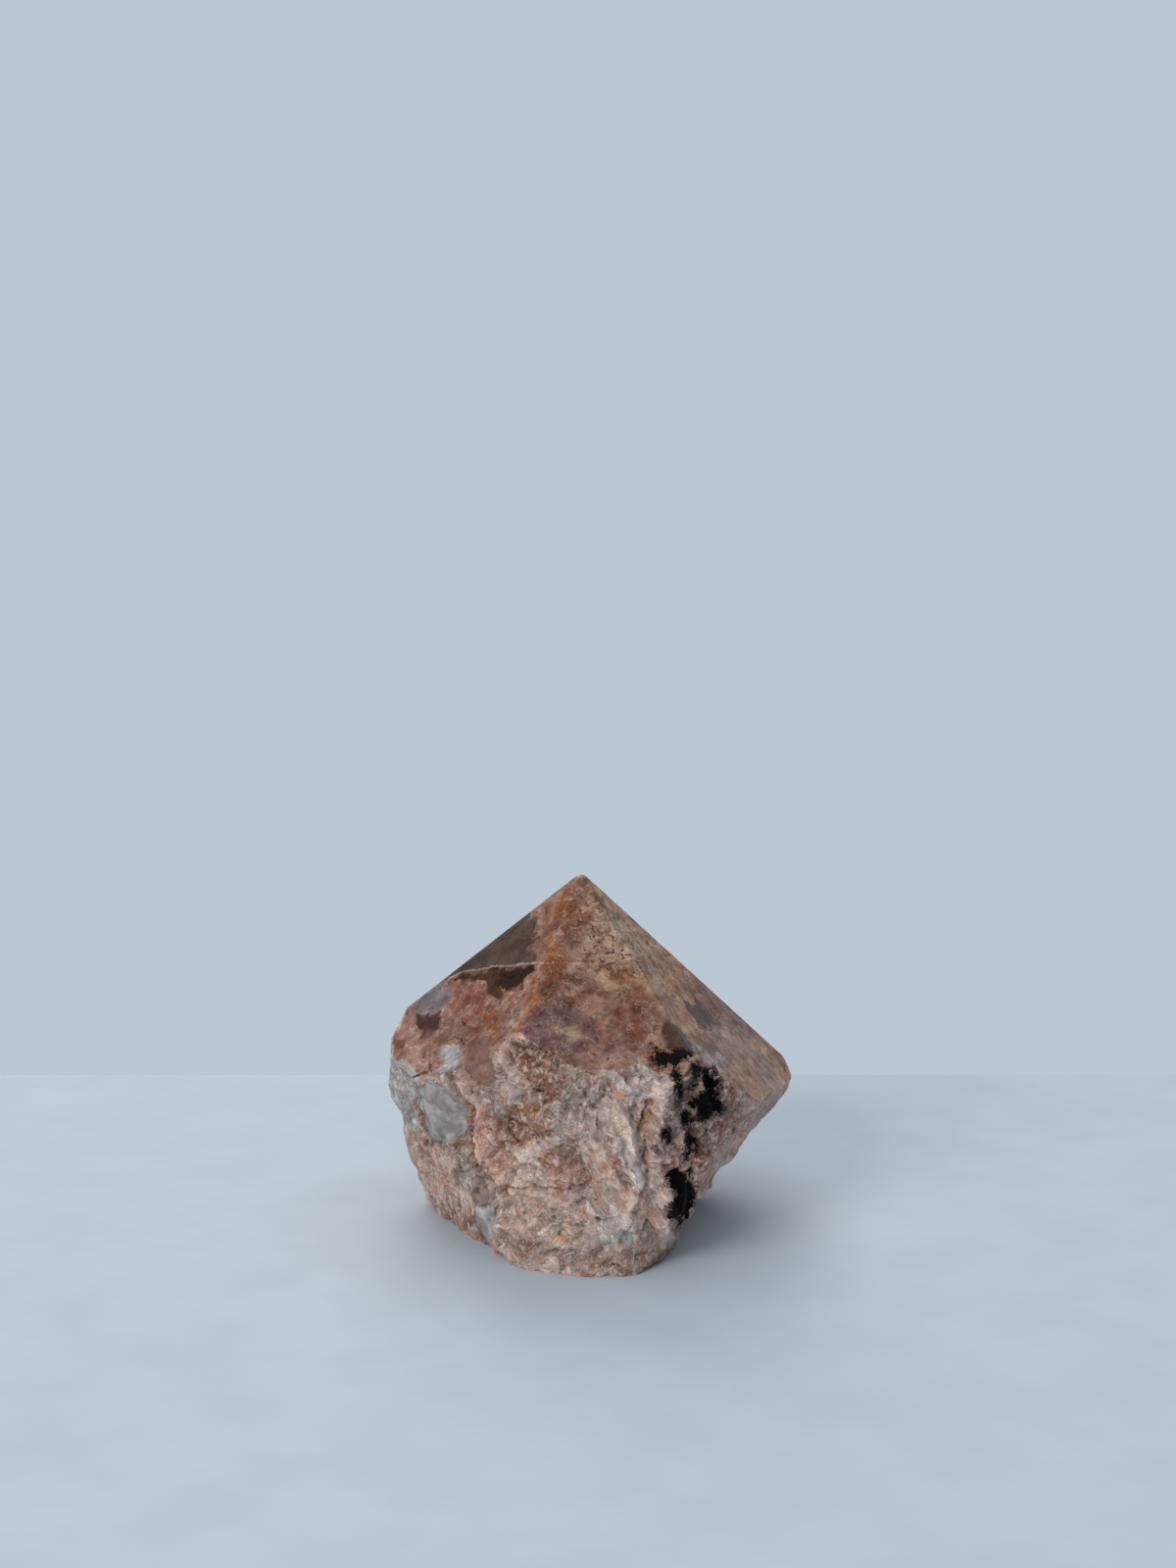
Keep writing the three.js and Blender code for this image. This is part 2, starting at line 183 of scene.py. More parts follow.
ROUGH_MARKS = [
    Patch("white vein under the middle facet", "white", 0.9, 0.5,
          [(606, 1090), (618, 1092), (636, 1104), (662, 1122), (650, 1122), (618, 1106)]),
    Patch("grey band at the left", "band grey", 1.0, 1.2,
          [(388, 1036), (408, 1046), (430, 1100), (430, 1150), (396, 1160), (386, 1100)]),
    Spot("beige of the left band", "tan", 0.3, 1.2, (410, 1090), (31, 11), 80),
    Patch("pink foot of the left side", "pink", 0.8, 2.0,
          [(406, 1156), (462, 1190), (474, 1230), (470, 1262), (436, 1246), (420, 1200)]),
    Spot("pale corner of the slab", "tan", 0.7, 0.6, (458, 1113), (25, 10), 42),
    # Painted shade, over rusty brown, in the crevices beside and under the slab.
    Spot("crevice left of the slab", "rust and painted crevice shade", 0.8, 0.4, (430, 1142), (16, 5), 60),
    Spot("crevice under the slab", "rust and painted crevice shade", 0.75, 0.4, (451, 1166), (19, 5), 10),
    Spot("dark streaks under the slab", "dark grey", 0.6, 0.9, (473, 1183), (23, 10), 80),
    Spot("whitish fibres", "white", 0.5, 0.8, (479, 1211), (17, 8), 80),
    # Painted shade, over rusty brown, in the groove under the oval.
    Spot("dark rim of the oval", "rust and painted crevice shade", 0.6, 0.4, (492, 1231), (9, 3)),
    Spot("dark low edge of the left side", "red brown", 0.6, 0.9, (481, 1254), (27, 12), 45),
    Spot("pale low front", "pale pink", 0.65, 3.0, (605, 1245), (92, 62)),
    Spot("salmon flank", "salmon", 1.0, 1.2, (499, 1166), (52, 18), 68),
    Spot("pinkish lumps under the facet", "pale pink", 0.5, 1.2, (514, 1087), (23, 12), 85),
    Spot("brown stains of the front", "rust", 0.8, 1.4, (541, 1144), (29, 24)),
    Spot("brown grain under the ledge", "rust", 0.95, 1.4, (549, 1093), (34, 16), 40),
    Spot("ochre streak of the front", "ochre", 0.9, 1.0, (534, 1131), (16, 8)),
    Spot("tan middle of the front", "tan", 0.7, 2.2, (600, 1146), (42, 38), 90),
    Spot("white lumps of the front", "white", 0.6, 0.8, (543, 1178), (13, 9)),
    Spot("pale pink of the front", "pale pink", 0.7, 1.2, (527, 1203), (26, 11)),
    Spot("red specks of the front", "red brown", 0.55, 1.5, (583, 1195), (30, 19), 90),
    Spot("cream under the ledge", "cream", 0.8, 0.8, (590, 1092), (32, 10), 30),
    Spot("white shoulder", "white", 0.5, 1.6, (666, 1104), (30, 25), 60),
    Spot("pink of the shoulder", "pale pink", 0.5, 1.0, (638, 1128), (26, 17), 40),
    Spot("rust cleft", "ochre", 0.8, 0.7, (658, 1144), (24, 6), 113),
    Spot("white ridge", "white", 0.9, 1.2, (643, 1184), (39, 9), 80),
    Spot("rust beside the ridge", "salmon", 0.65, 0.8, (626, 1195), (12, 11)),
    Spot("grey right of the ridge", "grey", 0.35, 1.8, (669, 1195), (44, 13), 88),
    Spot("yellow foot", "yellow", 0.7, 1.2, (578, 1262), (17, 15)),
    Spot("white foot", "white", 0.85, 1.4, (629, 1257), (27, 19)),
    Spot("brown foot", "rust", 0.55, 1.6, (646, 1290), (39, 16)),
    Spot("brown spot of the foot", "rust", 0.7, 0.8, (534, 1274), (12, 8), 90),
    Patch("crust beside the tourmaline", "crust", 0.9, 2.0,
          [(690, 1080), (752, 1104), (752, 1150), (722, 1188), (694, 1196), (684, 1150)]),
    Spot("rust beside the tourmaline", "rust", 0.7, 0.9, (713, 1188), (15, 13)),
    Spot("red brown of the right side", "red brown", 0.7, 0.8, (743, 1150), (12, 10)),
    Spot("upper red brown of the right side", "red brown", 0.7, 0.7, (746, 1116), (10, 7), 90),
    Patch("pale underside", "pale pink", 0.85, 1.6,
          [(756, 1136), (806, 1100), (812, 1120), (716, 1226), (712, 1206), (744, 1166)]),
]

# Glassy quartz of the front: mineral, strength and outline. The shader breaks its edges up.
Quartz = namedtuple("Quartz", "name mineral strength outline")

QUARTZ = [
    Quartz("glassy brown patch", "corner brown", 0.8,
           [(677, 1046), (684, 1041), (694, 1052), (704, 1068), (703, 1078), (690, 1076), (676, 1066)]),
    Quartz("grey smoky quartz", "smoke", 1.0,
           [(531, 922), (540, 932), (546, 943), (546, 951), (542, 958), (541, 968), (545, 976),
            (546, 982), (538, 985), (514, 987), (494, 989), (474, 992), (458, 999), (446, 992)]),
    Quartz("brown smoky quartz", "dark smoke", 1.0,
           [(546, 984), (544, 992), (537, 999), (531, 1003), (528, 1009), (518, 1015), (512, 1008),
            (508, 996), (500, 989), (520, 987)]),
    Quartz("left end of the brown smoky quartz", "burnt smoke", 1.0,
           [(518, 1015), (514, 1021), (506, 1020), (498, 1012), (496, 1004), (486, 1000), (472, 1002),
            (463, 999), (474, 993), (500, 989), (508, 996), (512, 1008)]),
    Quartz("grey swirl", "swirl grey", 0.85,
           [(422, 1034), (432, 1018), (452, 1007), (462, 1010), (454, 1022), (453, 1031), (440, 1034)]),
    Quartz("plum corner", "dark plum", 0.9,
           [(423, 1034), (440, 1036), (453, 1033), (446, 1043), (440, 1052), (435, 1062), (429, 1058)]),
    Quartz("glassy rose patch", "glassy rose", 0.7,
           [(476, 1060), (488, 1056), (498, 1064), (507, 1080), (508, 1100), (503, 1113), (494, 1110),
            (482, 1096), (474, 1078)]),
    Quartz("dark smoky patch of the right facet", "burnt smoke", 0.85,
           [(697, 1024), (708, 1020), (722, 1032), (730, 1048), (718, 1050), (703, 1040)]),
    Quartz("lower dark patch of the right facet", "burnt smoke", 0.6,
           [(706, 1050), (718, 1054), (729, 1067), (740, 1078), (724, 1074), (712, 1066)]),
    Quartz("grey slab", "slab grey", 1.0,
           [(423, 1106), (438, 1104), (451, 1109), (464, 1122), (474, 1131), (479, 1146), (478, 1156),
            (466, 1161), (457, 1167), (447, 1159), (437, 1157), (434, 1140), (428, 1122)]),
    Quartz("brown oval", "oval brown", 0.8,
           [(483, 1203), (494, 1203), (501, 1214), (503, 1226), (493, 1231), (484, 1227), (481, 1216)]),
    Quartz("low grey of the left side", "low grey", 0.85,
           [(486, 1232), (506, 1228), (510, 1250), (506, 1272), (490, 1262), (480, 1250)]),
]

# Black tourmaline: outlines of the front. They take no softness: the shader breaks their edges up.
TOURMALINE_OUTLINES = {
    "at the facet edge": [
        (658, 1064), (668, 1068), (678, 1073), (692, 1074), (703, 1077), (701, 1083), (694, 1086),
        (695, 1098), (691, 1110), (687, 1098), (682, 1092), (671, 1090), (663, 1080)],
    "thin trail": [(690, 1106), (695, 1106), (698, 1122), (694, 1124)],
    "left crystal": [(706, 1083), (714, 1084), (713, 1097), (708, 1107)],
    "main crystals": [
        (717, 1090), (727, 1093), (734, 1104), (731, 1117), (738, 1128), (736, 1139), (727, 1140),
        (720, 1149), (716, 1138), (707, 1127), (710, 1117), (718, 1113), (716, 1104)],
    "lower trail": [
        (694, 1134), (708, 1137), (709, 1149), (704, 1154), (709, 1166), (706, 1175), (699, 1184),
        (696, 1174), (700, 1160), (694, 1148)],
    "dark red crystal": [(680, 1154), (688, 1152), (686, 1166), (678, 1172)],
    "lower crystals": [
        (683, 1193), (703, 1196), (704, 1206), (711, 1214), (709, 1226), (700, 1236), (697, 1249),
        (691, 1253), (684, 1243), (683, 1228), (680, 1208)],
}

# Lines of the front: half width (mm) and points (pixels).
Line = namedtuple("Line", "name half_width points")

WHITE_VEINS = [
    Line("fracture of the left facet", 0.04,
         [(456, 999), (474, 991), (494, 988), (517, 985), (540, 983), (563, 981)]),
    Line("branch in the middle facet", 0.0, [(563, 981), (588, 984), (604, 976), (634, 972), (648, 982)]),
    Line("vein of the shoulder", 0.45, [(616, 1094), (627, 1102), (636, 1109), (648, 1114), (660, 1120)]),
]

# Dark cracks, pits and specks. The ledge, the step beside the slab and the ledge of the lower front are
# painted shadow lines under steps.
CRACKS_AND_LEDGE_SHADOWS = [
    Line("ledge", 0.08, [(528, 1057), (538, 1064), (552, 1070), (562, 1078)]),
    Line("corner of the front", 0.08, [(544, 1111), (550, 1112), (555, 1114)]),
    Line("pits of the front", 0.10, [(517, 1148), (522, 1154), (530, 1164)]),
    Line("step beside the slab", 0.05, [(479, 1150), (482, 1164), (484, 1178), (487, 1194)]),
    Line("ledge of the lower front", 0.02, [(505, 1213), (515, 1211), (530, 1212), (543, 1216)]),
    Line("pit of the left facet", 0.12, [(438, 1086), (440, 1094)]),
    Line("crack of the left band", 0.12, [(420, 1100), (428, 1097), (435, 1094)]),
    Line("specks of the left facet", 0.12, [(464, 1058), (470, 1061), (473, 1066)]),
    Line("speck of the left facet", 0.2, [(472, 1042), (474, 1045)]),
    Line("speck of the foot", 0.2, [(609, 1241), (612, 1244)]),
]

# Areas of the front that are thick with small dark flecks: strength, softness (mm), and an ellipse
# as a spot has.
FLECKED = [
    (1.0, 1.5, (622, 955), (64, 34), 45),
    (0.9, 1.5, (690, 990), (95, 24), 48),
    (0.8, 1.5, (576, 1008), (27, 25), 0),
    (0.9, 1.5, (544, 1115), (55, 32), 90),
    (0.9, 2.0, (580, 1200), (44, 22), 90),
    (0.8, 1.5, (645, 1292), (48, 20), 0),
    (1.0, 1.5, (720, 1140), (68, 36), 100),
    (0.7, 1.5, (474, 1185), (28, 15), 90),
]

# Areas of the front: relief drawn out into slanting ribs, upright fibres and streaks along the
# overhang, a facet with few feathers, and where quartz and tourmaline lie. Each has outlines, and a
# soft edge that reaches so many mm outside and inside them.
Area = namedtuple("Area", "outside inside outlines")

RIBBED = Area(1.5, 1.5, [
    [(600, 1130), (640, 1120), (680, 1130), (682, 1200), (670, 1270), (600, 1270), (590, 1190)]])
FIBROUS = Area(1.0, 1.0, [
    [(396, 1050), (440, 1090), (480, 1140), (490, 1230), (508, 1270), (440, 1250), (400, 1170)]])
STREAKED = Area(1.5, 1.0, [
    [(708, 1250), (716, 1206), (746, 1160), (776, 1128), (812, 1090), (822, 1120), (760, 1200)]])
CALM_AREA = Area(1.0, 1.5, [
    [(530, 1040), (556, 1016), (600, 1024), (640, 1060), (612, 1092), (570, 1076)]])
QUARTZ_AREA = Area(0.5, 0.5, [quartz.outline for quartz in QUARTZ])
TOURMALINE_AREA = Area(0.6, 0.2, TOURMALINE_OUTLINES.values())

# Relief of the front along lines: rise (mm, below 0 for a groove), half width (mm) and points.
Relief = namedtuple("Relief", "name rise half_width points")

RELIEFS = [
    Relief("lip of the middle facet", 1.9, 3.4, [(548, 1064), (580, 1080), (610, 1090), (640, 1082)]),
    Relief("groove under the ledge", -1.2, 1.1, [(528, 1061), (540, 1068), (556, 1078), (568, 1086)]),
    Relief("cleft", -0.9, 0.9, [(666, 1128), (656, 1140), (650, 1154), (648, 1168)]),
    Relief("vein of the shoulder", 0.5, 0.8, [(616, 1094), (632, 1105), (648, 1114), (662, 1120)]),
    Relief("ridge of the front", 0.7, 1.6, [(638, 1140), (646, 1166), (652, 1196), (648, 1224), (640, 1250)]),
    Relief("rib left of the ridge", 0.5, 0.8, [(616, 1152), (632, 1178), (644, 1200)]),
    Relief("second rib", 0.4, 0.7, [(604, 1166), (620, 1192), (632, 1214)]),
    Relief("groove beside the ridge", -0.5, 0.9, [(660, 1160), (664, 1186), (664, 1216)]),
    Relief("corner of the front", -0.5, 0.5, [(542, 1111), (555, 1113)]),
    Relief("pits of the front", -0.5, 0.6, [(516, 1147), (522, 1154), (532, 1167)]),
    Relief("slab edge", 0.5, 0.6,
           [(437, 1104), (452, 1110), (466, 1124), (477, 1140), (477, 1155), (459, 1166)]),
    Relief("step beside the slab", -1.3, 1.5,
           [(456, 1100), (470, 1116), (480, 1142), (483, 1172), (488, 1196), (500, 1216), (505, 1246)]),
    Relief("edge of the flank", 0.8, 1.5,
           [(476, 1106), (488, 1128), (492, 1150), (496, 1176), (504, 1200), (512, 1222), (514, 1250)]),
    Relief("ledge of the lower front", -0.45, 0.6, [(500, 1213), (516, 1211), (532, 1213), (556, 1219)]),
    Relief("oval", 0.5, 1.2, [(488, 1212), (496, 1222)]),
    Relief("rim under the oval", -0.5, 0.5, [(483, 1229), (494, 1233), (503, 1229)]),
    Relief("seam of the lower front", -0.4, 0.6, [(556, 1219), (580, 1214), (600, 1224), (616, 1240)]),
    Relief("seam of the flank", -0.35, 0.6, [(498, 1120), (510, 1142), (516, 1166), (530, 1184)]),
    Relief("seam over the foot", -0.45, 0.7, [(520, 1246), (546, 1252), (572, 1246), (600, 1256)]),
]

# Minerals of the sides that the picture doesn't show: mineral, middle and half size (mm).
Blob = namedtuple("Blob", "name mineral strength middle half")

BLOBS = [
    Blob("rose of the back left facet", "rose", 0.7, (-18, 14, 40), (9, 8, 7)),
    Blob("cream of the back right facet", "cream", 0.7, (20, 16, 40), (8, 8, 6)),
    Blob("violet of the back left facet", "violet grey", 0.8, (-8, 22, 36), (8, 7, 5)),
    Blob("white band of the back", "white", 0.8, (6, 28, 16), (5, 6, 16)),
    Blob("beige of the back left facet", "facet beige", 0.9, (-12, 8, 49), (7, 6, 5)),
    Blob("white streak of the back left facet", "facet white", 0.7, (-22, 17, 34), (3, 8, 5)),
    Blob("stain along the back arris", "orange brown", 0.8, (1, 13, 50), (3, 7, 8)),
    Blob("pink of the back right facet", "pink", 0.7, (12, 22, 38), (7, 6, 5)),
    Blob("salmon of the back", "salmon", 0.8, (-20, 22, 14), (8, 8, 6)),
    Blob("rust of the back", "rust", 0.7, (-10, 28, 12), (8, 8, 5)),
    Blob("salmon of the right end", "salmon", 0.7, (34, 10, 24), (8, 8, 9)),
    Blob("white underside", "white", 0.7, (22, 6, 10), (8, 12, 6)),
]
RIGHT_FACET_BLOBS = [
    Blob("brown of the right facet", "facet brown", 0.6, (9, 12, 51), (5, 5, 4)),
    Blob("cream of the right facet", "cream", 0.8, (14, 16, 46), (6, 7, 5)),
    Blob("pink of the right facet", "facet pink", 0.9, (23, 9, 35), (9, 5, 7)),
    Blob("violet of the right facet", "violet grey", 0.8, (27, 19, 33), (6, 7, 5)),
    Blob("rose of the right facet", "rose", 0.6, (19, 1, 38), (6, 4, 5)),
    Blob("grey of the right facet", "grey", 0.7, (30, 2, 26), (5, 5, 4)),
]
HIDDEN_QUARTZ = [
    Blob("grey quartz of the back", "smoke", 0.8, (9, 24, 40), (8, 9, 4)),
    Blob("dark quartz of the back", "dark smoke", 0.85, (2, 16, 46), (5, 5, 2.6)),
    Blob("grey quartz of the left end", "slab grey", 0.75, (-30, 13, 17), (5, 4, 6.5)),
]

# Hidden sides: middles and half sizes of tourmaline (mm), and white veins, which are planes with a
# normal, a middle and a reach (mm).
HIDDEN_TOURMALINE = [
    ((22, 18, 18), (3.2, 5, 6)),
    ((26, 15, 24), (2.4, 4, 3)),
    ((-14, 25, 24), (3.6, 4, 2.4)),
    ((-10, 26, 27.5), (1.6, 4, 3.4)),
    ((21, -4, 12), (3, 4, 4)),
]
HIDDEN_VEINS = [
    ((0.35, 0.15, 0.93), (-10, 16, 40), 15),
    ((0.8, 0.3, -0.5), (9, 27, 20), 13),
    ((-0.2, 0.6, 0.75), (24, 12, 33), 11),
]

BEHIND_FULL = 4.0  # mm behind what the camera sees: marks are whole up to here,
BEHIND_NONE = 12.0  # and end here
OUT_OF_REACH = 5.0  # mm: no mark's edge reaches this far

# ---- Small helpers ----


def unit(v):
    return v / np.linalg.norm(v, axis=-1, keepdims=True)


def smooth(value, low, high):
    t = np.clip((value - low) / (high - low), 0, 1)
    return t * t * (3 - 2 * t)


def linear(rgb):
    """Linear colour of an sRGB colour of 0 to 255."""
    c = np.array(rgb, float) / 255
    return np.where(c <= 0.04045, c / 12.92, ((c + 0.055) / 1.055) ** 2.4)


def opaque(rgb):
    return (*linear(rgb), 1.0)


def mineral(name):
    return linear(MINERALS[name])


def blend(colours, name, cover):
    return colours * (1 - cover)[:, None] + mineral(name) * cover[:, None]


# ---- Repeatable relief ----

TERRACE_SWAY = ((1.6, 2.3), (0.6, 0.9))  # how many steps terraces wander by, over how many treads
BREAK_HEIGHT = 0.9
BREAK_TILT = 1.7


def cell_value(x, y, z, seed):
    """A repeatable number between 0 and 1 for each cell of a lattice."""
    x, y, z = (np.asarray(a).astype(np.int64).astype(np.uint32) for a in (x, y, z))
    with np.errstate(over="ignore"):
        mix = (x * np.uint32(374761393)) ^ (y * np.uint32(668265263)) ^ (z * np.uint32(1440662683))
        mix = (mix ^ np.uint32(seed * 1274126177 % 2**32) ^ (mix >> np.uint32(15))) * np.uint32(1103515245)
        mix = (mix ^ (mix >> np.uint32(13))) * np.uint32(1597334677)
        mix = mix ^ (mix >> np.uint32(16))
    return mix.astype(np.float64) / 2**32


def rolling(points, width, seed):
    """Soft rolling noise between -1 and 1."""
    cell = points / width
    corner = np.floor(cell)
    part = cell - corner
    ease = part * part * (3 - 2 * part)
    value = np.zeros(len(points))
    for steps in product((0, 1), repeat=3):
        share = np.ones(len(points))
        for axis, step in enumerate(steps):
            share *= ease[:, axis] if step else 1 - ease[:, axis]
        value += share * cell_value(*(corner + steps).T, seed)
    return 2 * value - 1


def fractal(points, width, seed, octaves=3, gain=0.55):
    """Rolling noise in several sizes, each half the last."""
    total = np.zeros(len(points))
    height, reach = 1.0, 0.0
    for octave in range(octaves):
        total += height * rolling(points, width / 2**octave, seed + octave)
        reach += height
        height *= gain
    return total / reach


def broken(points, width, step, seed):
    """Broken relief between about -1 and 1: small flat breaks, each with its own height and tilt.
    step is the width of the ramp between two breaks."""
    corner = np.floor(points / width)
    near = np.full(len(points), np.inf)
    after = np.full(len(points), np.inf)
    near_value = np.zeros(len(points))
    after_value = np.zeros(len(points))
    for steps in product((-1, 0, 1), repeat=3):
        cell = corner + steps
        random = [cell_value(*cell.T, seed + salt) for salt in range(7)]
        away = points - (cell + np.stack(random[:3], 1)) * width
        tilt = np.stack(random[3:6], 1) - 0.5
        distance = np.linalg.norm(away, axis=1)
        value = (random[6] - 0.5) * BREAK_HEIGHT + (tilt * away).sum(1) * (BREAK_TILT / width)
        first = distance < near
        second = ~first & (distance < after)
        after = np.where(first, near, np.where(second, distance, after))
        after_value = np.where(first, near_value, np.where(second, value, after_value))
        near = np.where(first, distance, near)
        near_value = np.where(first, value, near_value)
    share = 0.5 * np.clip(1 - (after - near) / step, 0, 1)
    return near_value * (1 - share) + after_value * share


def terraces(points, normal, tread, seed):
    """Cleavage steps between -1 and 1: ramps along a direction that end in small cliffs."""
    along = points @ unit(np.array(normal, float)) / tread
    for n, (steps, treads) in enumerate(TERRACE_SWAY):
        along = along + steps * rolling(points, tread * treads, seed + n)
    return 2 * (along - np.floor(along)) - 1


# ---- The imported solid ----


def cad_solid():
    """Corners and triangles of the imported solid."""
    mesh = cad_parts[NODE].data
    mesh.calc_loop_triangles()
    corners = np.empty(len(mesh.vertices) * 3, np.float32)
    mesh.vertices.foreach_get("co", corners)
    triangles = np.empty(len(mesh.loop_triangles) * 3, np.int32)
    mesh.loop_triangles.foreach_get("vertices", triangles)
    return corners.reshape(-1, 3).astype(float) / MM, triangles.reshape(-1, 3)


def crosses(places, triangles):
    """Each triangle's corners, and its normal, as long as twice its area."""
    a, b, c = (places[triangles[:, i]] for i in range(3))
    return (a, b, c), np.cross(b - a, c - a)


def flat_faces(corners, triangles):
    """The ground and sawn flats as (outward normal, offset), and each triangle's flat, or -1."""
    (a, b, c), cross = crosses(corners, triangles)
    area = np.linalg.norm(cross, axis=1) / 2
    normal = cross / np.maximum(2 * area, NEAR_NOTHING)[:, None]
    offset = (normal * (a + b + c) / 3).sum(1)
    owner = np.full(len(triangles), -1)
    flats = []
    for seed in np.argsort(-area)[:FLAT_SEEDS]:
        if owner[seed] >= 0:
            continue
        alike = (normal @ normal[seed] > math.cos(FLAT_ANGLE)) & (np.abs(offset - offset[seed]) < FLAT_OFFSET)
        alike &= owner < 0
        if area[alike].sum() > FLAT_AREA:
            owner[alike] = len(flats)
            flats.append((normal[seed], offset[seed]))
    return flats, owner


# ---- Sphere mesh and cuts ----


def geodesic(divisions):
    """Directions and triangles of an icosahedron with every edge divided."""
    g = (1 + 5**0.5) / 2
    tips = unit(np.array([(-1, g, 0), (1, g, 0), (-1, -g, 0), (1, -g, 0), (0, -1, g), (0, 1, g),
                          (0, -1, -g), (0, 1, -g), (g, 0, -1), (g, 0, 1), (-g, 0, -1), (-g, 0, 1)]))
    faces = np.array([(0, 11, 5), (0, 5, 1), (0, 1, 7), (0, 7, 10), (0, 10, 11), (1, 5, 9), (5, 11, 4),
                      (11, 10, 2), (10, 7, 6), (7, 1, 8), (3, 9, 4), (3, 4, 2), (3, 2, 6), (3, 6, 8),
                      (3, 8, 9), (4, 9, 5), (2, 4, 11), (6, 2, 10), (8, 6, 7), (9, 8, 1)])
    rows = [(i, j) for i in range(divisions + 1) for j in range(divisions + 1 - i)]
    index = {ij: n for n, ij in enumerate(rows)}
    weights = np.array([(divisions - i - j, i, j) for i, j in rows]) / divisions
    local = []
    for i, j in rows:
        if i + j < divisions:
            local.append((index[i, j], index[i + 1, j], index[i, j + 1]))
        if i + j < divisions - 1:
            local.append((index[i + 1, j], index[i + 1, j + 1], index[i, j + 1]))
    local = np.array(local)
    points = np.concatenate([weights @ tips[face] for face in faces])
    triangles = np.concatenate([local + n * len(rows) for n in range(len(faces))])
    _, first, inverse = np.unique(points.round(7), axis=0, return_index=True, return_inverse=True)
    return unit(points[first]), inverse.reshape(-1)[triangles]


def edges_of(triangles):
    pairs = np.concatenate([triangles[:, [0, 1]], triangles[:, [1, 2]], triangles[:, [2, 0]]])
    return np.unique(np.sort(pairs, axis=1), axis=0)


def cut_along_zero(rows, triangles, field, may_cut=None):
    """Cuts triangles along field = 0. rows holds one row of values for each vertex."""
    a, b = edges_of(triangles).T
    field = field.copy()
    crossing = field[a] * field[b] < 0
    share = np.where(crossing, field[a] / np.where(crossing, field[a] - field[b], 1), 0.5)
    field[a[crossing & (share < SNAP)]] = 0
    field[b[crossing & (share > 1 - SNAP)]] = 0
    crossing = field[a] * field[b] < 0
    if may_cut is not None:
        crossing &= may_cut[a] & may_cut[b]
    a, b = a[crossing], b[crossing]
    if not len(a):
        return rows, triangles
    share = (field[a] / (field[a] - field[b]))[:, None]
    made_rows = rows[a] * (1 - share) + rows[b] * share
    count = len(rows)
    code = a.astype(np.int64) * count + b
    order = np.argsort(code)
    code = code[order]

    def made_on(p, q):
        wanted = np.minimum(p, q).astype(np.int64) * count + np.maximum(p, q)
        at = np.clip(np.searchsorted(code, wanted), 0, len(code) - 1)
        return np.where(code[at] == wanted, order[at] + count, -1)

    made = np.stack([made_on(triangles[:, i], triangles[:, (i + 1) % 3]) for i in range(3)], 1)
    number = (made >= 0).sum(1)
    pieces = [triangles[number == 0]]
    for turn in range(3):
        corner = np.roll(triangles, -turn, axis=1)
        on = np.roll(made, -turn, axis=1)
        two = (number == 2) & (on[:, 0] >= 0) & (on[:, 2] >= 0)
        p, q, r = corner[two].T
        m, _, n = on[two].T
        pieces += [np.stack(t, 1) for t in ((p, m, n), (m, q, r), (m, r, n))]
        one = (number == 1) & (on[:, 0] >= 0)
        p, q, r = corner[one].T
        m = on[one, 0]
        pieces += [np.stack(t, 1) for t in ((p, m, r), (m, q, r))]
    return np.concatenate([rows, made_rows]), np.concatenate(pieces)


# ---- Picture and distances ----


class Viewpoint:
    """The camera of the picture: projects points, and tells how far they lie behind what shows."""

    def __init__(self, place, tree):
        self.place = place
        self.tree = tree
        self.down = np.array([0.0, -math.sin(PITCH), -math.cos(PITCH)])
        self.ahead = np.array([0.0, math.cos(PITCH), -math.sin(PITCH)])

    def pixels(self, points):
        away = points - self.place
        scale = FOCAL_PX / (away @ self.ahead)
        return np.stack([PICTURE[0] / 2 + away[:, 0] * scale, PICTURE[1] / 2 + (away @ self.down) * scale], 1)

    def behind(self, points):
        """Distance of each point behind the surface that the camera sees in its direction."""
        away = points - self.place
        distance = np.linalg.norm(away, axis=1)
        origin = Vector(self.place)
        seen = distance.copy()
        for n, ray in enumerate(away / distance[:, None]):
            hit = self.tree.ray_cast(origin, Vector(ray))
            if hit[0] is not None:
                seen[n] = hit[3]
        return np.maximum(distance - seen, 0)


def line_distance(at, points, closed=False):
    """Distance from each place to a line of points."""
    nearest = np.full(len(at), np.inf)
    for start, end in zip(points, points[1:] + points[:1] if closed else points[1:]):
        start, end = np.array(start, float), np.array(end, float)
        run = end - start
        share = np.clip((at - start) @ run / (run @ run), 0, 1)
        nearest = np.minimum(nearest, np.linalg.norm(at - start - share[:, None] * run, axis=1))
    return nearest


def outline_distance(at, outline):
    """Distance from each place to an outline, below 0 inside."""
    inside = np.zeros(len(at), bool)
    for (x0, y0), (x1, y1) in zip(outline, outline[1:] + outline[:1]):
        spans = (y0 > at[:, 1]) != (y1 > at[:, 1])
        if y0 != y1:
            inside ^= spans & (at[:, 0] < (x1 - x0) * (at[:, 1] - y0) / (y1 - y0) + x0)
    distance = line_distance(at, outline, closed=True)
    return np.where(inside, -distance, distance)


def spot_distance(at, middle, half, lean):
    """Distance from each place to an ellipse, below 0 inside."""
    turn = math.radians(lean)
    away = at - middle
    first = away @ (math.cos(turn), math.sin(turn)) / half[0]
    second = away @ (-math.sin(turn), math.cos(turn)) / half[1]
    return (np.hypot(first, second) - 1) * min(half)


def mark_distance(at, mark):
    """Distance from each place to a patch or a spot, below 0 inside."""
    if isinstance(mark, Patch):
        return outline_distance(at, mark.outline)
    return spot_distance(at, mark.middle, mark.half, mark.lean)


def outlines_distance(at, outlines):
    """Distance in mm to the nearest of several outlines, below 0 inside."""
    return np.min([outline_distance(at, outline) for outline in outlines], axis=0) / PX_PER_MM


# ---- Form ----

# Breaks of the broken faces: height, width, ramp between two of them (mm) and seed. They are drawn
# out along an axis, where lengths count by no more than a share.
Break = namedtuple("Break", "height width step seed axis share", defaults=[(0, 0, 1), 1.0])

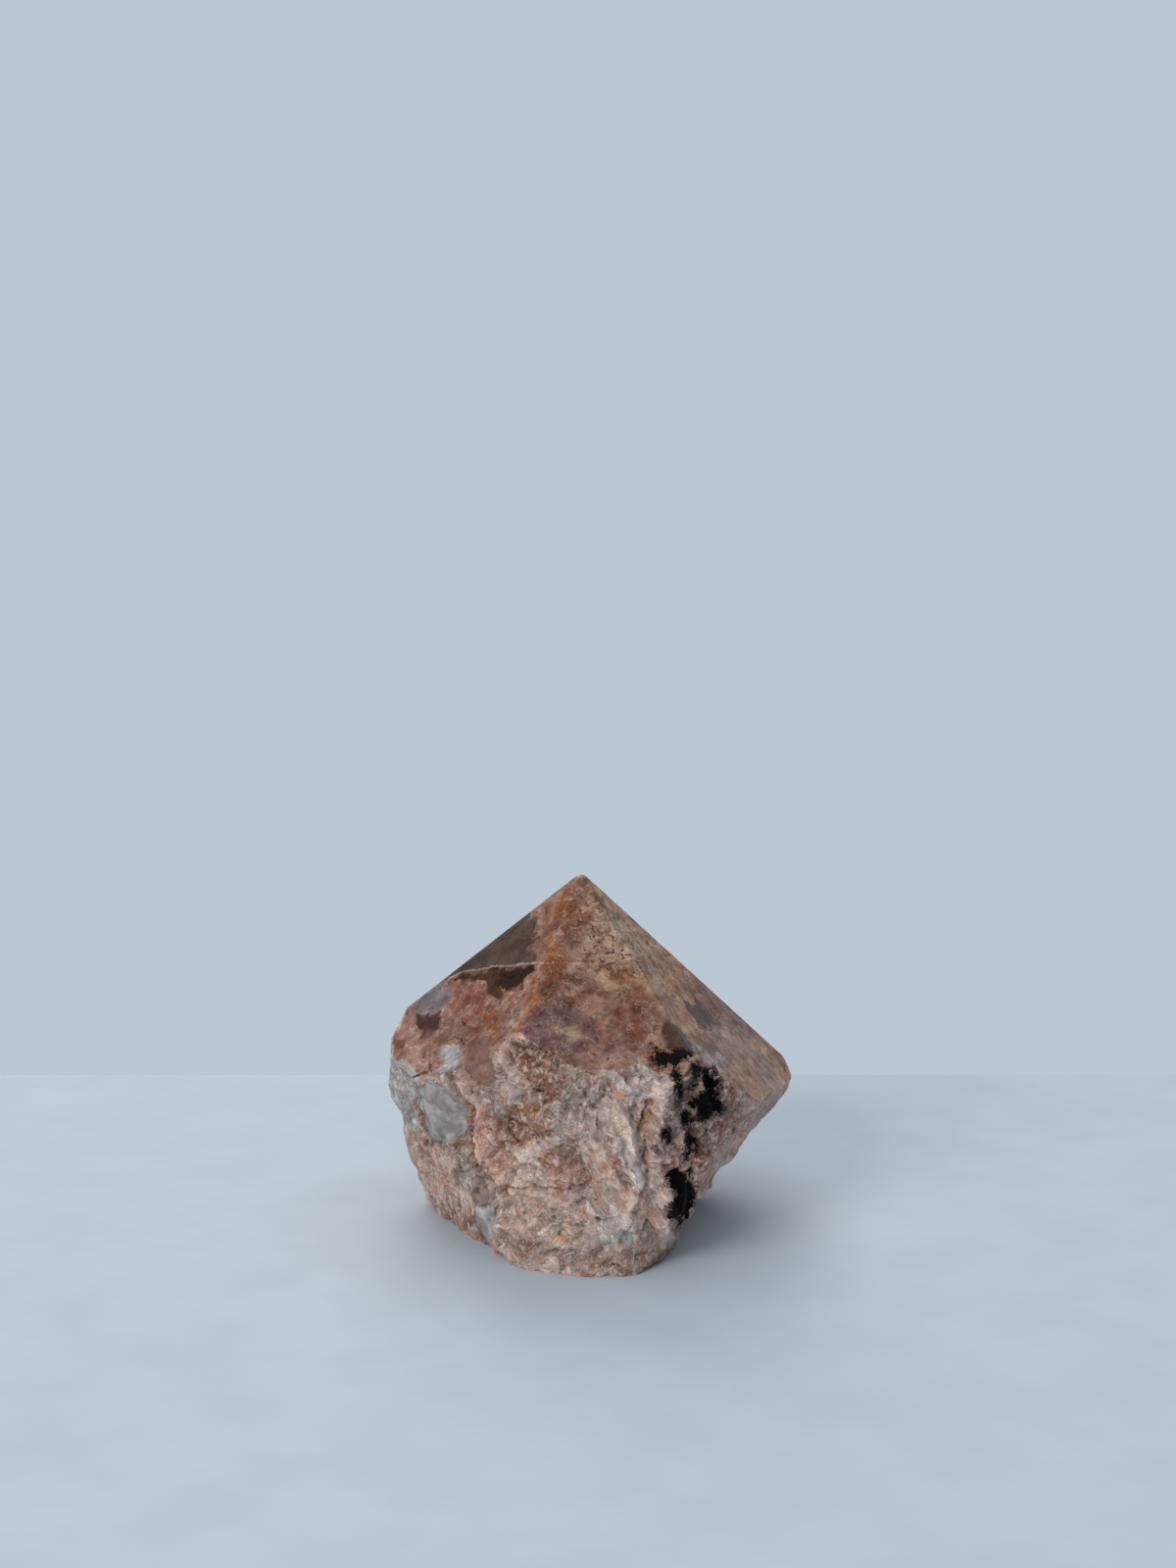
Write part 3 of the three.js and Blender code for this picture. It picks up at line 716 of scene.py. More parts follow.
LUMPS = Break(0.62, 4.6, 0.45, 11)
CHIPS = Break(0.50, 2.3, 0.25, 12)
SMALL_CHIPS = Break(0.24, 1.2, 0.15, 18)
RIBS = Break(0.50, 1.7, 0.2, 19, (-0.55, -0.2, 0.8), 0.3)
FIBRES = Break(0.42, 1.5, 0.2, 20, (0.1, 0.1, 1), 0.22)
STREAKS = Break(0.42, 1.5, 0.25, 22, (0.61, -0.1, 0.79), 0.15)
PRISMS = Break(0.22, 1.3, 0.15, 21, (0.05, 0.1, 1), 0.25)
CLEAVAGE = {"normal": (0.5, -0.3, 0.8), "tread": 3.2, "seed": 13}
CLEAVAGE_HEIGHT = 0.18
GRAIN = (0.12, 0.9, 17)  # height, width (mm) and seed
SWELL = (0.7, 0.5, 12, 71)  # least and further height of the breaks, width (mm) and seed
# How much of the relief is taken off by what lies there.
TAKEN_OFF = {"drawn out": 0.7, "streaked": 0.65, "quartz": 0.8, "tourmaline": 0.7, "near the polish": 0.5}
NEAR_POLISH = 1.6  # mm under the polished faces
# Cover of noise: width (mm), seed, and the values at which it starts and is whole.
Cover = namedtuple("Cover", "width seed start whole")

HIDDEN_RIBS = Cover(11, 72, 0.25, 0.5)
HIDDEN_FIBRES = Cover(13, 73, 0.3, 0.5)
CLEAVED = Cover(9, 14, 0.0, 0.5)
PIXEL_WANDER = ((3.2, 0.9, 31), (1.1, 0.45, 35))  # width, reach (mm) and seed of how outlines wander


def support(rows, face):
    """1 / distance from the sight point to a flat, along each direction."""
    normal, offset = face
    return rows[:, :3] @ normal / (offset - normal @ SIGHT_POINT)


def polished_support(rows):
    values = np.maximum(np.stack([support(rows, f) for f in ground + [tip]], 1), NEAR_NOTHING)
    top = values.max(1)
    return top * ((values / top[:, None]) ** ARRIS_HARDNESS).sum(1) ** (1 / ARRIS_HARDNESS)


def radial_hits(directions):
    """Distance from the sight point to the solid's outer surface, and the flat that was hit."""
    distance = np.empty(len(directions))
    owner = np.empty(len(directions), int)
    for n, direction in enumerate(directions):
        out = Vector(direction)
        hit = tree.ray_cast(Vector(SIGHT_POINT) + out * FAR, -out)
        distance[n] = FAR - hit[3]
        owner[n] = flat_of[hit[2]]
    return distance, owner


def neighbour_mean(values, edges):
    a, b = edges.T
    total = np.bincount(a, values[b], len(values)) + np.bincount(b, values[a], len(values))
    return total / (np.bincount(a, minlength=len(values)) + np.bincount(b, minlength=len(values)))


def rough_reach(directions, triangles):
    """Distance from the sight point to the broken surface, carried on above the flats that cut it."""
    reach, owner = radial_hits(directions)
    points = SIGHT_POINT + directions * reach[:, None]
    rough = np.flatnonzero(owner < 0)
    near = kdtree.KDTree(len(rough))
    for n in rough:
        near.insert(points[n], int(n))
    near.balance()
    for n in np.flatnonzero(owner >= 0):
        reach[n] += min(RISE_BEYOND_EDGE * near.find(points[n])[2], RISE_LIMIT)
    edges = edges_of(triangles)
    for _ in range(SMOOTHING_ROUNDS):
        reach = 0.5 * reach + 0.5 * neighbour_mean(reach, edges)
    return reach


def breaks(points, kind):
    """Height of one kind of breaks."""
    axis = unit(np.array(kind.axis, float))
    drawn = points - np.outer(points @ axis, axis) * (1 - kind.share)
    return kind.height * broken(drawn, kind.width, kind.step, kind.seed)


def within(at, area):
    """Cover of an area, with its soft edge."""
    return smooth(outlines_distance(at, area.outlines), area.outside, -area.inside)


def covered(points, cover):
    return smooth(rolling(points, cover.width, cover.seed), cover.start, cover.whole)


def drawn_grain(points, at, front):
    """Where the grain is drawn out into slanting ribs, and where into upright fibres."""
    return [np.maximum(within(at, area) * front, covered(points, cover) * (1 - front))
            for area, cover in ((RIBBED, HIDDEN_RIBS), (FIBROUS, HIDDEN_FIBRES))]


def fine_relief(points, at, behind, under):
    """Height of the fine relief of the broken faces. under is each point's depth under the polish."""
    front = smooth(behind, BEHIND_NONE, BEHIND_FULL)
    ribbed, fibrous = drawn_grain(points, at, front)
    chips = breaks(points, CHIPS) + breaks(points, SMALL_CHIPS)
    chips = chips * (1 - TAKEN_OFF["drawn out"] * np.maximum(ribbed, fibrous))
    chips = chips + breaks(points, RIBS) * ribbed + breaks(points, FIBRES) * fibrous * (1 - ribbed)
    least, further, width, seed = SWELL
    swell = least + further * (0.5 + 0.5 * rolling(points, width, seed))
    cleave = CLEAVAGE_HEIGHT * terraces(points, **CLEAVAGE) * covered(points, CLEAVED)
    height = (breaks(points, LUMPS) + chips) * swell + cleave
    grain, width, seed = GRAIN
    height = height + grain * rolling(points, width, seed)
    streaked = within(at, STREAKED) * front
    height = height * (1 - TAKEN_OFF["streaked"] * streaked) + breaks(points, STREAKS) * streaked
    height = height * (1 - TAKEN_OFF["quartz"] * within(at, QUARTZ_AREA) * front)
    crystal = within(at, TOURMALINE_AREA) * front
    height = height * (1 - TAKEN_OFF["tourmaline"] * crystal) + breaks(points, PRISMS) * crystal
    height = height * (1 - TAKEN_OFF["near the polish"] * smooth(under, NEAR_POLISH, 0.0))
    for relief in RELIEFS:
        distance = line_distance(at, relief.points) / PX_PER_MM
        height += relief.rise * front * smooth(distance, relief.half_width, 0)
    return height


def warped_pixels(points, share=1.0):
    """Where points show, moved a little at random so that outlines turn natural."""
    at = view.pixels(points)
    for width, reach, seed in PIXEL_WANDER:
        move = np.stack([rolling(points, width, seed), rolling(points, width, seed + 1)], 1)
        at = at + PX_PER_MM * reach * share * move
    return at


corners, solid_triangles = cad_solid()
flats, flat_of = flat_faces(corners, solid_triangles)
foot = next(f for f in flats if f[0][2] < SAWN_BELOW)
ground = [f for f in flats if f[0][2] > GROUND_ABOVE]
peak = np.linalg.lstsq(np.array([n for n, _ in ground]), np.array([o for _, o in ground]), rcond=None)[0]
tip = (np.array([0.0, 0.0, 1.0]), corners[:, 2].max())
tree = BVHTree.FromPolygons(corners.tolist(), solid_triangles.tolist())
view = Viewpoint(peak + CAMERA_FROM_PEAK, tree)

directions, triangles = geodesic(DIVISIONS)
reach = rough_reach(directions, triangles)
rough_points = SIGHT_POINT + directions * reach[:, None]
under_polish = 1 / polished_support(directions) - reach
shown_at = warped_pixels(rough_points)
relief_height = fine_relief(rough_points, shown_at, view.behind(rough_points), under_polish)

# Each row: direction (not always of length 1), 1 / broken reach, relief height.
rows = np.column_stack([directions, 1 / (reach + relief_height), relief_height])
for face in range(len(ground)):
    for other in range(face):
        first, second = support(rows, ground[face]), support(rows, ground[other])
        best = np.max([support(rows, f) for f in ground], axis=0)
        on_arris = (np.maximum(first, second) >= best - NEAR_NOTHING) & (polished_support(rows) > rows[:, 3])
        rows, triangles = cut_along_zero(rows, triangles, first - second, on_arris)
rows, triangles = cut_along_zero(rows, triangles, polished_support(rows) - rows[:, 3])
above_saw = support(rows, foot) - np.maximum(rows[:, 3], polished_support(rows))
rows, triangles = cut_along_zero(rows, triangles, above_saw)

used, triangles = np.unique(triangles, return_inverse=True)
triangles = triangles.reshape(-1, 3)
rows = rows[used]
polished, sawn, rough = polished_support(rows), support(rows, foot), rows[:, 3]
points = SIGHT_POINT + rows[:, :3] / np.maximum.reduce([polished, sawn, rough])[:, None]
row_length = np.linalg.norm(rows[:, :3], axis=1)
polish = (polished - rough) / (polished * rough) * row_length
saw = (sawn - np.maximum(rough, polished)) / (np.maximum(sawn, NEAR_NOTHING) * rough) * row_length
saw = np.where(sawn > 0, saw, NOT_SAWN)

# ---- Colour ----

# Feldspar where no patch is named. Noises: width (mm) and seed. Zones: mineral, noise, where the
# zone starts and where it is whole, and strength.
ZONE_NOISES = {"wide": (20, 51), "pale": (7, 54), "warm": (10, 57), "stain": (5, 61)}
WORN_ZONES = [
    ("pink", "wide", -0.2, 0.3, 1.0),
    ("grey", "wide", -0.12, -0.45, 0.7),
    ("salmon", "warm", 0.15, 0.5, 0.6),
    ("pale pink", "pale", 0.1, 0.45, 0.7),
    ("rust", "stain", 0.25, 0.6, 0.5),
]
POLISHED_ZONES = [
    ("facet pink", "wide", -0.1, 0.3, 1.0),
    ("facet beige", "pale", -0.05, 0.3, 0.85),
    ("orange brown", "warm", 0.15, 0.5, 0.4),
    ("plum", "stain", 0.3, 0.6, 0.4),
]
RAGGED = ((0.5, 2.4, 41), (0.35, 1.2, 42), (0.25, 0.6, 43))  # height, width (mm) and seed
# How far ragged edges wander, as a share of RAGGED. A mark's edge wanders further if it is soft.
WANDER = {"mark": 0.2, "soft mark": 1.1, "blob": 2.6, "tourmaline": 1.6, "hidden quartz": 0.6, "quartz": 0.4}
MARK_EDGE = 0.6  # half width of a mark's edge, by its softness
BLOB_EDGE = 1.2  # and of a blob's, mm
LINE_WANDER = 0.25  # lines wander less than outlines do
PLANE_WAVE = (0.8, 5, 95)  # height, width (mm) and seed
FLECKS = (0.25, 0.2, 8, 66)  # usual share, how far it varies, width (mm) and seed
CALM = (9, 81, 0.0, 0.4)  # fractal noise: width (mm), seed, start and whole
TINT_EDGE = 0.03  # mm: colours change within this of a facet's edge,
MARK_OVERLAP = 0.1  # marks end within this beyond it,
WORN_EDGE = 0.05  # and wear within this
PAINTED_RELIEF_SHADE = 0.22  # painted light and shade: how much paler 1 mm of raised relief makes the stone, and darker 1 mm of low relief
PAINTED_HOLLOW_SHADE = 0.36  # how much darker painted shade makes a hollow,
PAINTED_SHADE_WARMTH = np.array([0.8, 1.0, 1.1])  # by red, green and blue
PROUD_CRYSTALS_AND_HIGHLIGHT = 0.35  # how far a proud edge is covered with pale crystals and painted highlight,
PROUD_HIGHLIGHT_GAIN = 1.1  # and how much lighter they are there
BULGE_ROUNDS = 4
BULGE = (0.02, 0.22)  # mm: hollows and proud edges start and are whole

at = warped_pixels(points)
front = smooth(view.behind(points), BEHIND_NONE, BEHIND_FULL)
ragged = sum(height * rolling(points, width, seed) for height, width, seed in RAGGED)
hidden = OUT_OF_REACH * (1 - front)
shown = OUT_OF_REACH * front


def zoned(ground_mineral, zones):
    """One mineral with zones of others."""
    noises = {name: fractal(points, width, seed) for name, (width, seed) in ZONE_NOISES.items()}
    colours = np.tile(mineral(ground_mineral), (len(points), 1))
    for name, noise, start, whole, strength in zones:
        colours = blend(colours, name, strength * smooth(noises[noise], start, whole))
    return colours


def lay_marks(colours, marks, only):
    for mark in marks:
        wander = WANDER["mark"] + WANDER["soft mark"] * mark.soft
        distance = mark_distance(at, mark) / PX_PER_MM + wander * ragged
        edge = mark.soft * MARK_EDGE
        colours = blend(colours, mark.mineral, mark.strength * smooth(distance, edge, -edge) * front * only)
    return colours


def blob_distance(middle, half):
    """Distance in mm from the outside of an ellipsoid, below 0 inside."""
    return (np.linalg.norm((points - middle) / half, axis=1) - 1) * min(half)


def lay_blobs(colours, blobs, only):
    for blob in blobs:
        distance = blob_distance(blob.middle, blob.half) + WANDER["blob"] * ragged
        cover = blob.strength * smooth(distance, BLOB_EDGE, -BLOB_EDGE)
        colours = blend(colours, blob.mineral, cover * only)
    return colours


def bulge(rounds):
    """How far each point stands out from the mean of those around it, in mm."""
    _, cross = crosses(points, triangles)
    normal = np.zeros((len(points), 3))
    for axis, corner in product(range(3), repeat=2):
        normal[:, axis] += np.bincount(triangles[:, corner], cross[:, axis], len(points))
    edges = edges_of(triangles)
    mean = points.copy()
    for _ in range(rounds):
        mean = np.stack([neighbour_mean(mean[:, axis], edges) for axis in range(3)], 1)
    return ((points - mean) * unit(normal)).sum(1)


def stone_tint():
    """The feldspar's colour at each point, with painted light and shade on its relief, hollows and proud
    edges.
    """
    share = smooth(polish, -TINT_EDGE, TINT_EDGE)[:, None]
    tint = zoned("peach", WORN_ZONES) * (1 - share) + zoned("facet brown", POLISHED_ZONES) * share
    on_facets = smooth(polish, -MARK_OVERLAP, MARK_OVERLAP)
    tint = lay_blobs(tint, BLOBS, 1 - front)
    tint = lay_marks(tint, ROUGH_MARKS, smooth(polish, MARK_OVERLAP, -MARK_OVERLAP))
    tint = lay_marks(tint, [RIGHT_FACET_BEIGE], on_facets)
    tint = lay_blobs(tint, RIGHT_FACET_BLOBS, on_facets)
    tint = lay_marks(tint, FACET_MARKS, on_facets)
    tint = tint * np.where(polish[:, None] > 0, POLISHED_GAIN, WORN_GAIN)
    unpolished = smooth(polish, WORN_EDGE, -WORN_EDGE)
    # Painted light and shade: raised relief of the broken faces is made paler and low relief darker.
    tint = tint * (1 + PAINTED_RELIEF_SHADE * np.clip(rows[:, 4], -1, 1) * unpolished)[:, None]
    worn = unpolished * smooth(saw, WORN_EDGE, -WORN_EDGE)
    stand_out = bulge(BULGE_ROUNDS)
    # Pale crystals with a painted highlight on the proud edges of the broken faces.
    proud_crystals_and_highlight = PROUD_CRYSTALS_AND_HIGHLIGHT * smooth(stand_out, *BULGE) * worn
    # Painted shade in the hollows of the broken faces.
    painted_hollow_shade = PAINTED_HOLLOW_SHADE * smooth(-stand_out, *BULGE) * worn
    tint = tint * (1 - painted_hollow_shade)[:, None] ** PAINTED_SHADE_WARMTH
    return tint * (1 - proud_crystals_and_highlight)[:, None] + proud_crystals_and_highlight[:, None] * mineral("pale crystals") * PROUD_HIGHLIGHT_GAIN


def lines_distance(lines):
    """Distance in mm to the nearest of several lines of the front."""
    at_lines = warped_pixels(points, LINE_WANDER)
    nearest = np.full(len(points), OUT_OF_REACH)
    for line in lines:
        nearest = np.minimum(nearest, line_distance(at_lines, line.points) / PX_PER_MM - line.half_width)
    return nearest + hidden


def planes_distance(planes):
    """Distance in mm to the nearest of several wavy planes of limited reach."""
    height, width, seed = PLANE_WAVE
    nearest = np.full(len(points), np.inf)
    for normal, middle, reach in planes:
        off = np.abs((points - middle) @ unit(np.array(normal)) + height * rolling(points, width, seed))
        beyond = np.maximum(np.linalg.norm(points - middle, axis=1) - reach, 0)
        nearest = np.minimum(nearest, off + beyond)
    return nearest


def tourmaline_distance():
    """Distance in mm from the outside of the nearest tourmaline, below 0 inside."""
    nearest = outlines_distance(at, TOURMALINE_OUTLINES.values()) + hidden
    for blob in HIDDEN_TOURMALINE:
        nearest = np.minimum(nearest, blob_distance(*blob) + WANDER["tourmaline"] * ragged + shown)
    return nearest


def nearest_quartz():
    """Distance in mm from the outside of the nearest quartz, and that quartz's colour and strength."""
    nearest = np.full(len(points), np.inf)
    colour = np.zeros((len(points), 4))
    for quartz in QUARTZ + HIDDEN_QUARTZ:
        if isinstance(quartz, Blob):
            distance = blob_distance(quartz.middle, quartz.half) + WANDER["hidden quartz"] * ragged + shown
        else:
            distance = outline_distance(at, quartz.outline) / PX_PER_MM + hidden
        closer = distance < nearest
        nearest = np.where(closer, distance, nearest)
        colour[closer] = (*mineral(quartz.mineral), quartz.strength)
    return nearest + WANDER["quartz"] * ragged, colour


def fleck_cover():
    """How thick each point is with small dark flecks."""
    usual, change, width, seed = FLECKS
    cover = usual + change * rolling(points, width, seed)
    for strength, soft, *ellipse in FLECKED:
        inside = smooth(spot_distance(at, *ellipse) / PX_PER_MM, soft, -soft)
        cover = np.maximum(cover, strength * inside * front)
    return cover


def calm_cover():
    """Where polished faces have few feathers."""
    width, seed, start, whole = CALM
    return np.maximum(smooth(fractal(points, width, seed), start, whole), front * within(at, CALM_AREA))


glassy, quartz_tint = nearest_quartz()
ribbed, fibrous = drawn_grain(points, at, front)
POINT_VALUES = {
    "polish": polish,
    "saw": saw,
    "tourmaline": tourmaline_distance(),
    "vein": np.minimum(lines_distance(WHITE_VEINS), planes_distance(HIDDEN_VEINS) + shown),
    "crack": lines_distance(CRACKS_AND_LEDGE_SHADOWS),
    "flecks": fleck_cover(),
    "glassy": glassy,
    "calm": calm_cover(),
    "ribbed": ribbed,
    "fibrous": fibrous,
}
POINT_COLOURS = {"tint": np.column_stack([stone_tint(), np.ones(len(points))]), "quartz_tint": quartz_tint}

# ---- Mesh object ----


def face_kinds():
    """0 for broken, 1 and up for each polished facet, -1 for the sawn foot."""

    def mean(values):
        return values[triangles].mean(1)

    facet = np.argmax([mean(support(rows, f)) for f in ground], axis=0) + 1
    return np.where(mean(saw) > 0, -1, np.where(mean(polish) > 0, facet, 0))


def mark_sharp_edges(mesh):
    """Edges are sharp where the surface turns by much, and all round each flat."""
    _, normal = crosses(points, triangles)
    normal /= np.maximum(np.linalg.norm(normal, axis=1), NEAR_NOTHING)[:, None]
    kind = face_kinds()
    edge_of = np.empty(len(mesh.loops), np.int32)
    mesh.loops.foreach_get("edge_index", edge_of)
    order = np.argsort(edge_of, kind="stable")
    face = order // 3
    first, second = face[0::2], face[1::2]
    edge = edge_of[order][0::2]
    turn = (normal[first] * normal[second]).sum(1)
    sharp = np.zeros(len(mesh.edges), bool)
    sharp[edge] = (turn < math.cos(SHARP_ANGLE)) | (kind[first] != kind[second])
    attribute = mesh.attributes.new("sharp_edge", "BOOLEAN", "EDGE")
    attribute.data.foreach_set("value", sharp)


def link(name, data):
    """A new object of the scene."""
    thing = bpy.data.objects.new(name, data)
    bpy.context.scene.collection.objects.link(thing)
    return thing


def stone_object():
    mesh = bpy.data.meshes.new("moonstone_surface")
    mesh.vertices.add(len(points))
    mesh.vertices.foreach_set("co", (points * MM).astype(np.float32).reshape(-1))
    mesh.loops.add(triangles.size)
    mesh.loops.foreach_set("vertex_index", triangles.astype(np.int32).reshape(-1))
    mesh.polygons.add(len(triangles))
    mesh.polygons.foreach_set("loop_start", np.arange(0, triangles.size, 3, dtype=np.int32))
    mesh.update(calc_edges=True)
    mesh.validate()
    for name, values in POINT_VALUES.items():
        attribute = mesh.attributes.new(name, "FLOAT", "POINT")
        attribute.data.foreach_set("value", np.clip(values, -KEPT, KEPT).astype(np.float32))
    for name, colours in POINT_COLOURS.items():
        attribute = mesh.attributes.new(name, "FLOAT_COLOR", "POINT")
        attribute.data.foreach_set("color", colours.astype(np.float32).reshape(-1))
    mesh.shade_smooth()
    mark_sharp_edges(mesh)
    return link("moonstone_dressed", mesh)


# ---- Material ----

# Noises of the stone, per mm: scale, detail, roughness and distortion.
NOISES = {
    "ragged": (1.6, 5, 0.65),
    "fine ragged": (5, 3, 0.6),
    "grain": (5, 4, 0.65),
    "tight": (1.7, 6, 0.70),
    "mottle": (0.42, 6, 0.60),
    "threads": (0.9, 4, 0.6, 0.5),
    "dots": (2.2, 3, 0.6),
}
# Masks of noise: the noise, the values at which the mask starts and is whole, and what it gives there.
Mask = namedtuple("Mask", "noise start whole least most", defaults=[0, 1])

MASKS = {
    "soft edges": Mask((0.28, 2), 0.42, 0.62, 0.10, 0.9),
    "stains": Mask((0.38, 5, 0.6), 0.53, 0.62),
    "milk": Mask((0.55, 5, 0.65, 0.6), 0.54, 0.64),
    "lips": Mask((0.5, 3, 0.6), 0.38, 0.56, 0.2, 0.9),
    "feet": Mask((0.5, 3, 0.6), 0.62, 0.44, 0.2, 0.95),
    "pits": Mask((2.4, 2, 0.5), 0.38, 0.33),
    "pitted areas": Mask((0.45, 2), 0.48, 0.60),
    "wisps": Mask((0.5, 5, 0.62, 0.8), 0.52, 0.70, 0, 0.40),
    "clouds": Mask((0.3, 3, 0.6), 0.35, 0.65, 0.66, 1.34),
    "amber": Mask((0.32, 4, 0.6), 0.53, 0.68),
    "violet": Mask((0.42, 5, 0.6, 0.4), 0.52, 0.66),
    "silky streaks": Mask((1.7, 3, 0.55), 0.3, 0.7, 0.84, 1.16),
    "threaded areas": Mask((0.5, 3, 0.6), 0.48, 0.58),
    "stroked areas": Mask((0.85, 3, 0.6), 0.52, 0.57),
    "black fibres": Mask((3, 3, 0.6), 0.35, 0.75),
    "grey specks and painted glints": Mask((3.4, 3, 0.7), 0.68, 0.72),
}
# Where a value starts to show and is whole, and what it gives there if that isn't 0 and 1.
RAMPS = {
    "flat": (-0.02, 0.02),
    "chosen flakes": (0.6, 0.8),
    "lip": (0.80, 0.97),
    "small lip": (0.74, 0.95),
    "foot": (0.08, 0),
    "small foot": (0.10, 0),
    "many flecks": (0.2, 0.9),
    "dark depth": (0.50, 0.39),
    "milky depth": (0.51, 0.61),
    "threads": (0.025, 0.005),
    "strokes": (0.11, 0.02),
    "veins": (0.16, -0.12),
    "veins by tone": (0.36, 0.55, 0.25, 0.85),
    "cracks_and_ledge_shadows": (0.10, -0.08),
    "black": (-0.02, -0.14),
    "halo": (1.1, 0, 0, 0.75),
    "glints": (0.86, 0.88),
}
# What a value of 0 gives, and what a value of 1 gives.
SPANS = {
    "stone over quartz": (1, 0.04),
    "tone of a flake": (0.80, 1.22),
    "tone of a patch": (0.90, 1.10),
    "stains by flecks": (0.45, 0.9),
    "pits by flecks": (0.5, 1),
    "dark depth by flecks": (0.7, 1),
    "feet by flecks": (0.4, 0.95),
    "strokes by flecks": (0.15, 0.95),
    "start of dots by flecks": (0.29, 0.37),
    "milky depth by calm": (0.62, 0.35),
    "lips by calm": (0.60, 0.30),
    "roughness by gloss": (0.82, 0.42),
    "relief by gloss": (1, 0.04),
}
WHOLE_DOTS = 0.27
# How strongly each layer covers what is under it.
COVERS = {
    "warmer flakes": 0.6,
    "paler flakes": 0.6,
    "milk": 0.6,
    "small lips": 0.7,
    "small feet": 0.8,
    "lip's own colour": 0.45,
    "pits": 0.85,
    "milky depth's own colour": 0.5,
    "amber": 0.4,
    "violet": 0.5,
    "polished lip's own colour": 0.35,
    "threads": 0.45,
    "dots": 0.8,
    "cracks_and_ledge_shadows": 0.85,
    "grey specks and painted glints": 0.7,
}
# What turns one colour into another: factors of its red, green and blue.
TURNS = {
    "warmer flakes": (1.02, 0.88, 0.81),
    "paler flakes": (1.16, 1.15, 1.08),
    "stains": (0.84, 0.58, 0.46),
    # lips and feet of broken flakes: paler rims with painted highlight, and painted shade at the foot of each
    # step
    "lips": (1.6, 1.65, 1.7),
    "feet": (0.42, 0.27, 0.21),
    "wisps": (1.7, 1.8, 1.8),
    "dark depth": (0.50, 0.38, 0.33),
    "milky depth": (1.5, 1.6, 1.7),
    "amber": (1.06, 0.84, 0.64),
    "violet": (0.88, 0.82, 0.94),
    "polished lips": (1.5, 1.6, 1.65),
    "polished feet": (0.42, 0.30, 0.24),
    "halo": (0.46, 0.38, 0.36),
}
# How textures are drawn out: turn of the axes (degrees), and by how much along each.
DRAWN_OUT = {
    "ribs": ((0, -34, 0), (1, 1, 4)),
    "fibres": ((0, 6, 0), (1, 1, 5)),
    "silky streaks": ((0, 38, 20), (5, 1, 1)),
    "threads": ((0, 38, 20), (3.5, 1, 1)),
    "strokes": ((0, -24, 0), (2.2, 1, 1)),
    "black fibres": ((6, 8, 0), (1, 1, 6)),
}
# Cleavage steps: steps per mm along each axis, and scale (per mm) and reach (steps) of how they wander.
STEPS = {
    "broad": ((0.20, 0.10, 0.34), 0.30, 4),
    "broad ribs": ((0.45, 0.2, 0), 0.40, 3.5),
    "broad fibres": ((0.4, 0.2, 0), 0.40, 3.5),
    "small": ((-0.5, 0.3, 0.7), 0.85, 3),
    "small ribs": ((-0.7, 0.3, 0), 1, 3),
}
STEP_NOISE = (3.5, 0.55, 0.3)  # detail, roughness and distortion
BENT = (0.8, 5, 2.6)  # scale (per mm), detail and reach (mm) of noise that
SWAYED = (0.5, 2.5, 3)  # moves the places of other textures
PATCH_SCALE = 0.6  # per mm
STROKE_SCALE = 0.75
DEPTH_TONE = (0.65, 0.35, 0.08)  # shares of the mottle, the tight noise and the patches
QUARTZ_EDGE = (1.1, 0.5)  # mm: reach of ragged and fine ragged edges
VEIN_EDGE = 0.3
CRACK_EDGE = 0.8
TOURMALINE_EDGE = (2.6, 2.8, 1.4)  # the last one from flake to flake
QUARTZ_GLOSS = 0.8
TOURMALINE_GLOSS = 0.8
ROUGHNESS = {"glints": 0.35, "grain": 0.2, "quartz": -0.2}
HEIGHTS = {  # mm
    "flakes": 0.40,
    "small flakes": 0.22,
    "tight": 0.35,
    "grain": 0.16,
    "pits": 0.2,
    "kerf": 0.05,
    "cracks_and_ledge_shadows": 0.2,
}
KERF = {"Scale": 0.55, "Distortion": 1.5, "Detail Scale": 0.1}
FINISH = {
    "IOR": 1.45,
    "Specular IOR Level": 0.06,
    "Subsurface Weight": 0.05,
    "Subsurface Scale": 1.0 * MM,
    "Subsurface Radius": (1, 0.6, 0.45),
}


class Value:
    """An output of a node, which can be added to numbers and other outputs, and multiplied by them."""

    def __init__(self, nodes, socket):
        self.nodes = nodes
        self.socket = socket

    def __add__(self, other):
        return self.nodes.math("ADD", self, other)

    def __sub__(self, other):
        return self.nodes.math("SUBTRACT", self, other)

    def __rsub__(self, other):
        return self.nodes.math("SUBTRACT", other, self)

    def __mul__(self, other):
        return self.nodes.math("MULTIPLY", self, other)

    def __gt__(self, other):
        return self.nodes.math("GREATER_THAN", self, other)


